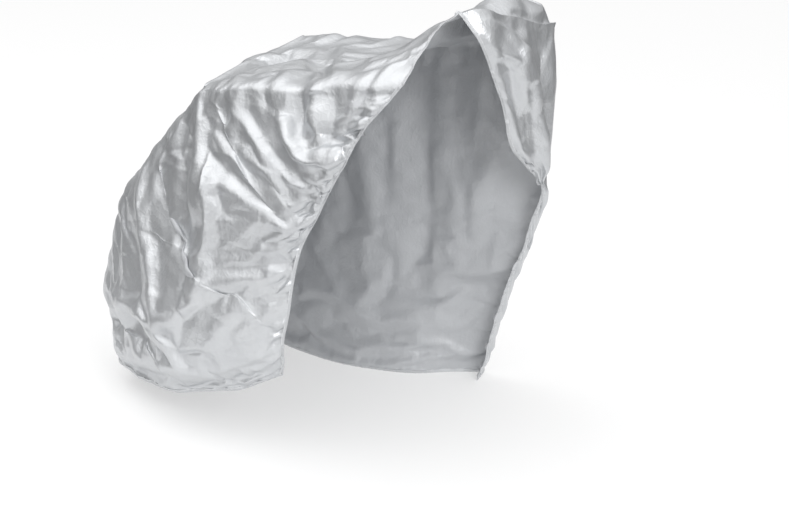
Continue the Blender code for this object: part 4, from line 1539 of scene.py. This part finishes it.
@dataclass
class TopAndTailStrip(Panel):
    """The strip over the top and down the tail."""

    def lay_out(self) -> np.ndarray:
        """Stretches the panel between its edges.

        Returns:
            Its grid, with no folds.
        """
        turn = self.turn()
        over, down = np.linspace(0, 1, turn + 1), np.linspace(1, 0, self.columns - turn + 1)
        near = np.vstack([along_curve(NEAR_SHOULDER, over), along_curve(NEAR_TAIL, down)[1:]])
        far = np.vstack([along_curve(FAR_SHOULDER, over), along_curve(FAR_TAIL, down)[1:]])
        open_rows = self.open_rows()
        free, seam = np.linspace(0, 1, open_rows + 1), np.linspace(0, 1, self.rows - open_rows + 1)
        front = np.vstack([along_curve(STRIP_FRONT, free), along_curve(FLAP_TOP, seam)[1:]])
        hem = along_curve(TAIL_HEM, np.linspace(0, 1, self.rows + 1))
        return stretched(near, far, front, hem, STRIP_HOLD)

    def turn(self) -> int:
        """Returns the column where the top ends and the tail starts."""
        return self.columns * SOLID_COLUMNS // (SOLID_COLUMNS + SOLID_ROWS)

    def open_rows(self) -> int:
        """Returns how many rows of the front edge are free, before the flap's seam starts."""
        return self.rows * SOLID_OPEN_COLUMNS // (SOLID_OPEN_COLUMNS + SOLID_FLAP_COLUMNS)

    def main_relief(self, grid: np.ndarray) -> np.ndarray:
        """Returns the height of the swells, the same as the solid's.

        Args:
            grid: not used.

        Returns:
            The height at each place, in metres.
        """
        s, t = self.shares()
        return swell_height(s, t, STRIP_SWELLS) * edge_fade(s, t, along=0.04, across=0.15)

    def facet_relief(self, grid: np.ndarray) -> np.ndarray:
        """Returns the height of the shoulders and the larger facets, which the cloth then settles from.

        Args:
            grid: the panel's points.

        Returns:
            The height at each place, in metres.
        """
        from_near, from_far = way_from(grid, 1), way_from(grid, 1, True)
        a = (grid + ORIGIN)[..., 1]
        b = way_from(grid, 0).mean(axis=1)[:, None] + 0 * a
        scattered = ScatteredCreases(
            count=40, low=(-0.05, 0.02), high=(0.50, 1.75), away_from=TAIL_HUMP, spread=0.6, seed=23,
            length=(0.06, 0.18), height=(0.001, 0.003),
        )
        facets = Facets(spacing=0.075, height=0.0014, seed=7).relief(a, b, STRIP_CRESTS + scattered.crests())
        calm = calm_near_edge(way_from(grid, 0), width=0.03)
        calm = calm * calm_near_edge(way_from(grid, 0, True), width=0.03)
        facets *= calm * soft_step(np.minimum(from_near, from_far) / 0.04)
        shoulders = shoulder(from_near, slope=0.32, reach=0.026)
        shoulders += shoulder(from_far, slope=0.35, reach=0.024)
        cap = swell_height(*self.shares(), STRIP_CAP) * soft_step(way_from(grid, 0) / 0.03)
        return facets + cap + shoulders * soft_step(way_from(grid, 0) / 0.05)

    def fine_relief(self, grid: np.ndarray) -> np.ndarray:
        """Returns the height of the creases and the gathers.

        Args:
            grid: the panel's points.

        Returns:
            The height at each place, in metres.
        """
        from_front, from_hem = way_from(grid, 0), way_from(grid, 0, True)
        from_seam = np.minimum(way_from(grid, 1), way_from(grid, 1, True))
        a = (grid + ORIGIN)[..., 1]
        b = from_front.mean(axis=1)[:, None] + 0 * a
        creases = 0.5 * fold_height(a, b, STRIP_CREASES, Shape.CREASE)
        scattered = ScatteredCreases(
            count=50, low=(-0.05, 0.02), high=(0.50, 1.75), away_from=TAIL_HUMP, spread=1.2, seed=24,
            length=(0.02, 0.06),
        )
        creases += Facets(spacing=0.024, height=0.0003, seed=9, passes=1).relief(a, b, scattered.crests())
        across = way_from(grid, 1)
        hem = Gathers(pitch=0.020, height=0.0035, reach=0.024, seed=21.0).relief(across[-1:], from_hem)
        front = Gathers(pitch=0.020, height=0.0012, reach=0.014, seed=26.0).relief(across[:1], from_front)
        total = creases + hem + front
        return total * edge_calm(from_front, from_hem, from_seam)


@dataclass
class FarSidePanel(Panel):
    """The far side panel with its front flap, one cut of cloth."""

    flap_columns: int = 56

    def lay_out(self) -> np.ndarray:
        """Stretches the flap and the side between their edges.

        Returns:
            The panel's grid, with no folds, the flap first.
        """
        t = np.linspace(0, 1, self.rows + 1)
        over_flap = np.linspace(0, 1, self.flap_columns + 1)
        over_side = np.linspace(0, 1, self.side_columns() + 1)
        fold = along_curve(FLAP_FOLD, t)
        flap = stretched(
            along_curve((FLAP_FRONT[0], FLAP_FOLD[0]), over_flap), along_curve(FLAP_TOP, over_flap),
            along_curve(FLAP_FRONT, t), fold,
        )
        side = stretched(
            along_curve(FAR_HEM, over_side), along_curve(FAR_SHOULDER, over_side), fold,
            along_curve(FAR_TAIL, t),
        )
        return self.rounded(np.vstack([flap, side[1:]]))

    def side_columns(self) -> int:
        """Returns how many columns the side takes."""
        return self.columns - self.flap_columns

    def rounded(self, grid: np.ndarray) -> np.ndarray:
        """Returns the grid with the turn from the side to the flap softened, as cloth turns a corner.

        Args:
            grid: the panel's points, with a sharp turn.

        Returns:
            The same points, moved near the turn only.
        """
        columns = np.arange(self.columns + 1)
        rows = np.arange(self.rows + 1)
        near_turn = np.clip(1 - np.abs(columns - self.flap_columns) / 8.0, 0, 1)[1:-1, None, None]
        inside = soft_step(np.minimum(rows, self.rows - rows) / 12.0)[None, :, None]
        for _ in range(30):
            middle = 0.5 * (grid[:-2] + grid[2:])
            grid[1:-1] += 0.6 * near_turn * inside * (middle - grid[1:-1])
        return grid

    def main_relief(self, grid: np.ndarray) -> np.ndarray:
        """Returns the height of the swells and main folds, the same as the solid's.

        Args:
            grid: the panel's points.

        Returns:
            The height at each place, in metres.
        """
        place = grid + ORIGIN
        flap, side = slice(0, self.flap_columns), slice(self.flap_columns, None)
        t = np.linspace(0, 1, self.rows + 1)[None, :]
        on_flap = np.linspace(0, 1, self.flap_columns + 1)[:-1, None]
        on_side = np.linspace(0, 1, self.side_columns() + 1)[:, None]
        total = np.zeros(grid.shape[:2])
        total[flap] = swell_height(on_flap, t, FLAP_SWELLS)
        total[flap] += fold_height(place[flap, :, 1], place[flap, :, 2], FLAP_FOLDS, Shape.ROLL)
        total[flap] *= edge_fade(on_flap, t, along=0.20, across=0.08)
        total[side] = swell_height(on_side, t, FAR_SWELLS)
        total[side] += fold_height(place[side, :, 0], place[side, :, 2], FAR_FOLDS, Shape.ROLL)
        total[side] *= edge_fade(on_side, t, along=0.25, across=0.10)
        return total

    def facet_relief(self, grid: np.ndarray) -> np.ndarray:
        """Returns the height of the shoulders and the larger facets, which the cloth then settles from.

        Args:
            grid: the panel's points.

        Returns:
            The height at each place, in metres.
        """
        place = grid + ORIGIN
        from_top, from_tail = way_from(grid, 1, True), way_from(grid, 0, True)
        side = slice(self.flap_columns, None)
        scattered = ScatteredCreases(
            count=50, low=(-0.35, 0.03), high=(0.72, 0.92), away_from=FAR_CORNER, spread=0.35, seed=37,
            length=(0.08, 0.22), height=(0.001, 0.004),
        )
        flap = slice(0, self.flap_columns)
        facets = np.zeros(grid.shape[:2])
        facets[side] = Facets(spacing=0.060, height=0.0016, seed=13).relief(
            place[side, :, 0], place[side, :, 2], FAR_CRESTS + scattered.crests()
        )
        facets[flap] = Facets(spacing=0.060, height=0.0006, seed=14).relief(
            place[flap, :, 1], place[flap, :, 2], FLAP_CRESTS
        )
        steps = np.arange(self.columns + 1) - self.flap_columns
        turn = np.clip(steps, 0, None)[:, None]
        facets *= (
            soft_step(np.abs(steps)[:, None] / TURN_COLUMNS) * calm_near_edge(way_from(grid, 1), width=0.03)
        )
        facets *= calm_near_edge(way_from(grid, 0), width=0.02)
        facets *= soft_step(np.minimum(from_top, from_tail) / 0.04)
        facets += shoulder(from_top, slope=0.45, reach=0.020) * soft_step(turn / TURN_COLUMNS)
        return facets + shoulder(from_tail, slope=0.5, reach=0.022)

    def fine_relief(self, grid: np.ndarray) -> np.ndarray:
        """Returns the height of the creases and the gathers.

        Args:
            grid: the panel's points.

        Returns:
            The height at each place, in metres.
        """
        place = grid + ORIGIN
        from_front, from_hem = way_from(grid, 0), way_from(grid, 1)
        from_seam = np.minimum(way_from(grid, 0, True), way_from(grid, 1, True))
        flap, side = slice(0, self.flap_columns), slice(self.flap_columns, None)
        total = np.zeros(grid.shape[:2])
        on_flap = FLAP_CREASES + ScatteredCreases(
            count=30, low=(0.20, 0.45), high=(0.58, 1.02), away_from=FLAP_CORNER, spread=0.25, seed=31,
            height=(0.0005, 0.0014),
        ).folds()
        on_side = ScatteredCreases(
            count=70, low=(-0.35, 0.03), high=(0.72, 0.92), away_from=FAR_CORNER, spread=0.9, seed=38,
            length=(0.02, 0.06),
        ).crests()
        # Each kind of crease is faded out round the turn between the two parts.
        turn = np.abs(np.arange(self.columns + 1) - self.flap_columns)[:, None]
        past_turn = soft_step(2 * turn / TURN_COLUMNS)
        flap_height = fold_height(place[flap, :, 1], place[flap, :, 2], on_flap, Shape.CREASE)
        total[flap] += flap_height * past_turn[flap]
        side_height = Facets(spacing=0.022, height=0.0004, seed=15, passes=1).relief(
            place[side, :, 0], place[side, :, 2], on_side
        )
        total[side] += side_height * past_turn[side]
        front = Gathers(pitch=0.022, height=0.0010, reach=0.014, seed=41.0)
        hem = Gathers(pitch=0.024, height=0.0025, reach=0.024, seed=47.0)
        total += front.relief(way_from(grid, 1)[:1], from_front)
        total += hem.relief(way_from(grid, 0)[:, :1], from_hem)
        return total * edge_calm(from_front, from_hem, from_seam)


# ----------------------------------------
# Where the panels are sewn together.


def at_columns(side: np.ndarray, count: int) -> np.ndarray:
    """Returns one panel's points beside a seam, read at another panel's columns.

    Args:
        side: its points, indexed along the seam and away from it.
        count: how many places along the seam the other panel has.

    Returns:
        The points at those places.
    """
    at = np.linspace(0, len(side) - 1, count)
    start = np.minimum(at.astype(int), len(side) - 2)
    share = (at - start)[:, None, None]
    return (1 - share) * side[start] + share * side[start + 1]


def eased(own: np.ndarray, other: np.ndarray, depth: int, passes: int) -> np.ndarray:
    """Returns one panel's points beside a seam, brought round it in a soft turn.

    Args:
        own: its points, indexed along the seam and away from it.
        other: the other panel's points, indexed in the same way.
        depth: how many rows on each side take part.
        passes: how many times each point moves towards its neighbours.

    Returns:
        The panel's points, moved in their first rows only.
    """
    across = np.concatenate([at_columns(other, len(own))[:, depth:0:-1], own[:, :depth + 1]], axis=1)
    share = soft_step(1 - np.abs(np.arange(-depth, depth + 1)) / depth)[None, 1:-1, None]
    places = np.arange(len(own))
    along = soft_step(np.minimum(places, places[::-1]) / 3.0)[:, None, None]
    for _ in range(passes):
        middle = 0.5 * (across[:, :-2] + across[:, 2:])
        across[:, 1:-1] += 0.7 * share * along * (middle - across[:, 1:-1])
    moved = own.copy()
    moved[:, :depth + 1] = across[:, depth:]
    return moved


def ease_seams(near: np.ndarray, strip: np.ndarray, far: np.ndarray, turn: int, flap: int) -> None:
    """Brings the cloth round each seam in a soft turn instead of a sharp one.

    Args:
        near: the near panel's grid, which changes.
        strip: the strip's grid, which changes.
        far: the far panel's grid, which changes.
        turn: the strip's column where its top ends and its tail starts.
        flap: the far panel's column where its side starts.
    """
    seams = (
        # Each panel's points, indexed along the seam and away from it; both run the same way.
        (near[:, ::-1], strip[:turn + 1]),
        (near[::-1].transpose(1, 0, 2), strip[turn:][::-1]),
        (far[flap:, ::-1], strip[:turn + 1, ::-1]),
        (far[::-1].transpose(1, 0, 2), strip[turn:, ::-1][::-1]),
    )
    for side, top in seams:
        new_side, new_top = (
            eased(own, other, SEAM_ROWS, SEAM_PASSES) for own, other in ((side, top), (top, side))
        )
        side[:] = new_side
        top[:] = new_top
        top[:, 0] = at_columns(new_side, len(top))[:, 0]  # the two edges stay joined


# ----------------------------------------
# The band.


@dataclass
class EdgeLine:
    """A line of places on the cloth, with the way out of the cloth and the way in across it at each."""

    points: np.ndarray
    out: np.ndarray
    inward: np.ndarray
    run: np.ndarray

    @classmethod
    def traced(cls, points: np.ndarray, out: np.ndarray, step: float) -> "EdgeLine":
        """Returns a line that comes back to its start, resampled to even steps.

        Args:
            points: the places, in order, with the cloth on their left seen from outside.
            out: the direction out of the cloth at each.
            step: the distance between two places of the result, in metres.

        Returns:
            The even line.
        """
        points, out = np.vstack([points, points[:1]]), np.vstack([out, out[:1]])
        run = np.concatenate([[0], np.cumsum(np.linalg.norm(np.diff(points, axis=0), axis=1))])
        count = int(run[-1] / step)
        at = np.linspace(0, run[-1], count + 1)
        even = np.stack([np.interp(at, run, points[:, k]) for k in range(3)], axis=1)
        normal = np.stack([np.interp(at, run, out[:, k]) for k in range(3)], axis=1)
        even, normal, at = even[:-1], normal[:-1], at[:-1]
        for _ in range(3):
            normal = 0.25 * (np.roll(normal, 1, 0) + np.roll(normal, -1, 0)) + 0.5 * normal
        ahead = np.roll(even, -1, 0) - np.roll(even, 1, 0)
        normal /= np.linalg.norm(normal, axis=1)[:, None]
        inward = np.cross(normal, ahead)
        inward /= np.linalg.norm(inward, axis=1)[:, None]
        return cls(even, normal, inward, at)


@dataclass
class ElasticBand:
    """The narrow elastic sewn along the whole free edge, drawn up so that it ripples with the gathers."""

    name: str = "gathered_elastic_band"
    step: float = 0.0026  # from one ring of points to the next
    ripple: float = 0.0007
    sides: int = 14

    def edge(self, near: np.ndarray, strip: np.ndarray, far: np.ndarray, panels: list[Panel]) -> EdgeLine:
        """Returns the cover's free edge, once round.

        Args:
            near: the near panel's grid.
            strip: the strip's grid.
            far: the far panel's grid.
            panels: the three panels, for their sides and sizes.

        Returns:
            The edge with the cloth to its left, seen from outside.
        """
        out = [grid_normals(grid, panel.outward) for grid, panel in zip((near, strip, far), panels)]
        turn = panels[1].open_rows()
        runs = [
            (near[0, :], out[0][0, :]),
            (strip[0, :turn + 1], out[1][0, :turn + 1]),
            (far[0, ::-1], out[2][0, ::-1]),
            (far[:, 0], out[2][:, 0]),
            (strip[-1, ::-1], out[1][-1, ::-1]),
            (near[::-1, 0], out[0][::-1, 0]),
        ]
        points = np.vstack([places[:-1] for places, _ in runs])
        normals = np.vstack([ways[:-1] for _, ways in runs])
        return EdgeLine.traced(points, normals, self.step)

    def build(self, line: EdgeLine, finish: bpy.types.Material) -> bpy.types.Object:
        """Makes the band as one closed ring of a low rounded section.

        Args:
            line: the free edge.
            finish: the band's material.

        Returns:
            The finished band.
        """
        around = np.linspace(0, 2 * math.pi, self.sides, endpoint=False)
        # A flat oval: across the band, and out of the cloth.
        across = 0.5 * 0.8 * BAND_WIDTH * (1 - np.sign(np.cos(around)) * np.abs(np.cos(around)) ** 0.55)
        height = 0.5 * 0.7 * BAND_THICKNESS * np.sign(np.sin(around)) * np.abs(np.sin(around)) ** 0.7
        wave = noise_height(np.stack([line.run, 0 * line.run, 0 * line.run], axis=1)[None], 0.009, 61.0)[0]
        centre = line.points + (self.ripple * 2 * wave)[:, None] * line.out
        rings = (
            centre[:, None]
            + across[None, :, None] * line.inward[:, None]
            + height[None, :, None] * line.out[:, None] * (1 + 0.35 * wave)[:, None, None]
        )
        return ring_mesh(self.name, rings, line.run, finish)


def ring_mesh(name: str, rings: np.ndarray, run: np.ndarray, finish: bpy.types.Material) -> bpy.types.Object:
    """Makes a closed tube through rings of points that come back to the first.

    Args:
        name: the object's name.
        rings: the points, indexed by ring and by place on the ring.
        run: how far along the tube each ring lies, in metres.
        finish: its material.

    Returns:
        The new object, with a UV map in metres along and around.
    """
    count, sides = rings.shape[:2]
    quads, places = [], []
    length = 0.5 * (run[1] - run[0]) + run[-1]
    for i in range(count):
        j = (i + 1) % count
        start, end = run[i], run[j] if j else length
        for k in range(sides):
            m = (k + 1) % sides
            quads.append((i * sides + k, j * sides + k, j * sides + m, i * sides + m))
            low, high = k * MILLIMETRE, (k + 1) * MILLIMETRE
            places += [(start, low), (end, low), (end, high), (start, high)]
    mesh = bpy.data.meshes.new(name)
    mesh.from_pydata(rings.reshape(-1, 3).tolist(), [], quads)
    layer = mesh.uv_layers.new(name="along")
    layer.data.foreach_set("uv", np.array(places).ravel())
    mesh.materials.append(finish)
    made = bpy.data.objects.new(name, mesh)
    bpy.context.collection.objects.link(made)
    outward_and_smooth(made)
    return made


def outward_and_smooth(made: bpy.types.Object) -> None:
    """Turns an object's faces out and shades it smooth.

    Args:
        made: the object.
    """
    pick_alone(made)
    bpy.ops.object.mode_set(mode="EDIT")
    bpy.ops.mesh.select_all(action="SELECT")
    bpy.ops.mesh.normals_make_consistent(inside=False)
    bpy.ops.object.mode_set(mode="OBJECT")
    bpy.ops.object.shade_smooth()


# ----------------------------------------
# The studio.


@dataclass
class Studio:
    """A sheet of pale paper, soft light from large boxes, and the camera at the photograph's angle.

    Past the paper's sides it is dark, which is what gives the silver cloth its dark flanks.
    """

    camera_place: tuple[float, float, float] = (3.962, -3.447, 2.093)
    heading: float = math.radians(43.0)  # the camera looks this far round from +Y towards -X
    pitch: float = 0.324  # and this far down, in radians
    focal_px: float = 2200.0
    image_px: float = 789.0
    # The paper widens away from the camera: how far along it starts and ends, and half its width there.
    paper: tuple[tuple[float, float], ...] = ((3.6, 1.35), (11.5, 2.7))

    def camera(self) -> None:
        """Adds the camera."""
        made = bpy.data.cameras.new("camera")
        made.sensor_width = 36.0
        made.lens = self.focal_px / self.image_px * made.sensor_width
        eye = bpy.data.objects.new("camera", made)
        eye.location = Vector(self.camera_place) - Vector(ORIGIN)
        eye.rotation_euler = (math.pi / 2 - self.pitch, 0.0, self.heading)
        bpy.context.collection.objects.link(eye)
        bpy.context.scene.camera = eye

    def floor(self) -> None:
        """Lays the paper under the cover."""
        ahead = np.array([-math.sin(self.heading), math.cos(self.heading)])
        aside = np.array([ahead[1], -ahead[0]])
        start = np.array(self.camera_place[:2]) - ORIGIN[:2]
        (near, narrow), (far, wide) = self.paper
        level = CAD_BOX[0][2] - 0.0005
        corners = [
            (*(start + ahead * way + aside * half), level)
            for way, half in ((near, -narrow), (near, narrow), (far, wide), (far, -wide))
        ]
        mesh = bpy.data.meshes.new("studio_paper")
        mesh.from_pydata(corners, [], [(0, 1, 2, 3)])
        paper = bpy.data.objects.new("studio_paper", mesh)
        bpy.context.collection.objects.link(paper)
        pale = bpy.data.materials.new("pale_studio_paper")
        pale.use_nodes = True
        shader = pale.node_tree.nodes["Principled BSDF"]
        shader.inputs["Base Color"].default_value = linear("#B8B8B8")
        shader.inputs["Roughness"].default_value = 0.8
        shader.inputs["Emission Color"].default_value = linear("#FFFFFF")
        shader.inputs["Emission Strength"].default_value = 0.46
        mesh.materials.append(pale)

    def light(self, name: str, place: tuple[float, float, float], size: float, power: float) -> None:
        """Adds one large soft box that faces the cover.

        Args:
            name: its name.
            place: where it stands.
            size: its width, in metres.
            power: its power, in watts.
        """
        made = bpy.data.lights.new(name, "AREA")
        made.shape = "SQUARE"
        made.size = size
        made.energy = power
        box = bpy.data.objects.new(name, made)
        box.location = place
        aim = Vector((0.0, 0.0, 0.5)) - Vector(place)
        box.rotation_euler = aim.to_track_quat("-Z", "Y").to_euler()
        bpy.context.collection.objects.link(box)

    def surroundings(self) -> None:
        """Adds pale light from overhead and from the camera's right, and none from the other side."""
        world = bpy.data.worlds.new("studio")
        world.use_nodes = True
        tree = world.node_tree
        tree.nodes.clear()
        place = add_node(tree, "ShaderNodeTexCoord", {})
        parts = []
        for way, strength in (((0.0, 0.0, 1.0), 1.24), ((0.8, -0.6, 0.0), 0.60)):
            facing = add_node(
                tree, "ShaderNodeVectorMath", {0: place.outputs["Generated"], 1: way}, operation="DOT_PRODUCT"
            )
            parts.append(
                add_node(tree, "ShaderNodeMapRange", {"Value": facing.outputs["Value"], 3: 0.0, 4: strength})
            )
        both = add_node(
            tree, "ShaderNodeMath", {0: parts[0].outputs[0], 1: parts[1].outputs[0]}, operation="ADD"
        )
        sky = add_node(
            tree, "ShaderNodeBackground", {"Color": (1.0, 1.0, 1.0, 1.0), "Strength": both.outputs[0]}
        )
        add_node(tree, "ShaderNodeOutputWorld", {"Surface": sky.outputs[0]})
        bpy.context.scene.world = world

    def build(self) -> None:
        """Sets up the whole studio."""
        self.camera()
        self.floor()
        self.surroundings()
        self.light("right_box", place=(5.0, -2.0, 2.5), size=2.0, power=120.0)
        self.light("overhead_box", place=(-1.5, -1.0, 4.0), size=4.5, power=60.0)
        self.light("front_box", place=(-0.4, -4.6, 1.8), size=3.0, power=14.0)
        self.light("low_front_box", place=(0.5, -5.0, 0.9), size=1.5, power=10.0)
        bpy.context.scene.view_settings.view_transform = "Standard"


def build_cover() -> None:
    faces = [OUTSIDE.material(), INSIDE_WITH_PAINTED_SHADE.material()]
    near = NearSidePanel(
        name="near_panel_cloth", node="near_side_panel", columns=160, rows=300,
        settling=Settling(columns=110, rows=150), flat=(0.85, 1.00), area=0.62, outward=-1.0,
    )
    strip = TopAndTailStrip(
        name="top_and_tail_cloth", node="top_and_tail_strip", columns=357, rows=110,
        settling=Settling(columns=204, rows=60), flat=(0.52, 1.85), area=0.84, outward=-1.0,
    )
    far = FarSidePanel(
        name="far_panel_cloth", node="far_side_panel", columns=200, rows=240,
        settling=Settling(columns=140, rows=140), flat=(1.30, 1.10), area=1.12, outward=1.0,
    )
    grids = [panel.shaped() for panel in (near, strip, far)]
    ease_seams(*grids, strip.turn(), far.flap_columns)
    for panel, grid in zip((near, strip, far), grids):
        sheet = panel.build(grid, faces)
        LOG.info("%s: %d faces", sheet.name, len(sheet.data.polygons))
    band = ElasticBand()
    line = band.edge(*grids, [near, strip, far])
    ring = band.build(line, WovenElastic().material())
    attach(ring, "root")
    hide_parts("elastic_band")
    LOG.info("%s: %d faces, %.2f m round", ring.name, len(ring.data.polygons), line.run[-1])


def main() -> None:
    """Builds the cover and its studio."""
    logging.basicConfig(level=logging.INFO, format="%(name)s: %(message)s")
    build_cover()
    Studio().build()


if __name__ == "__main__":
    main()
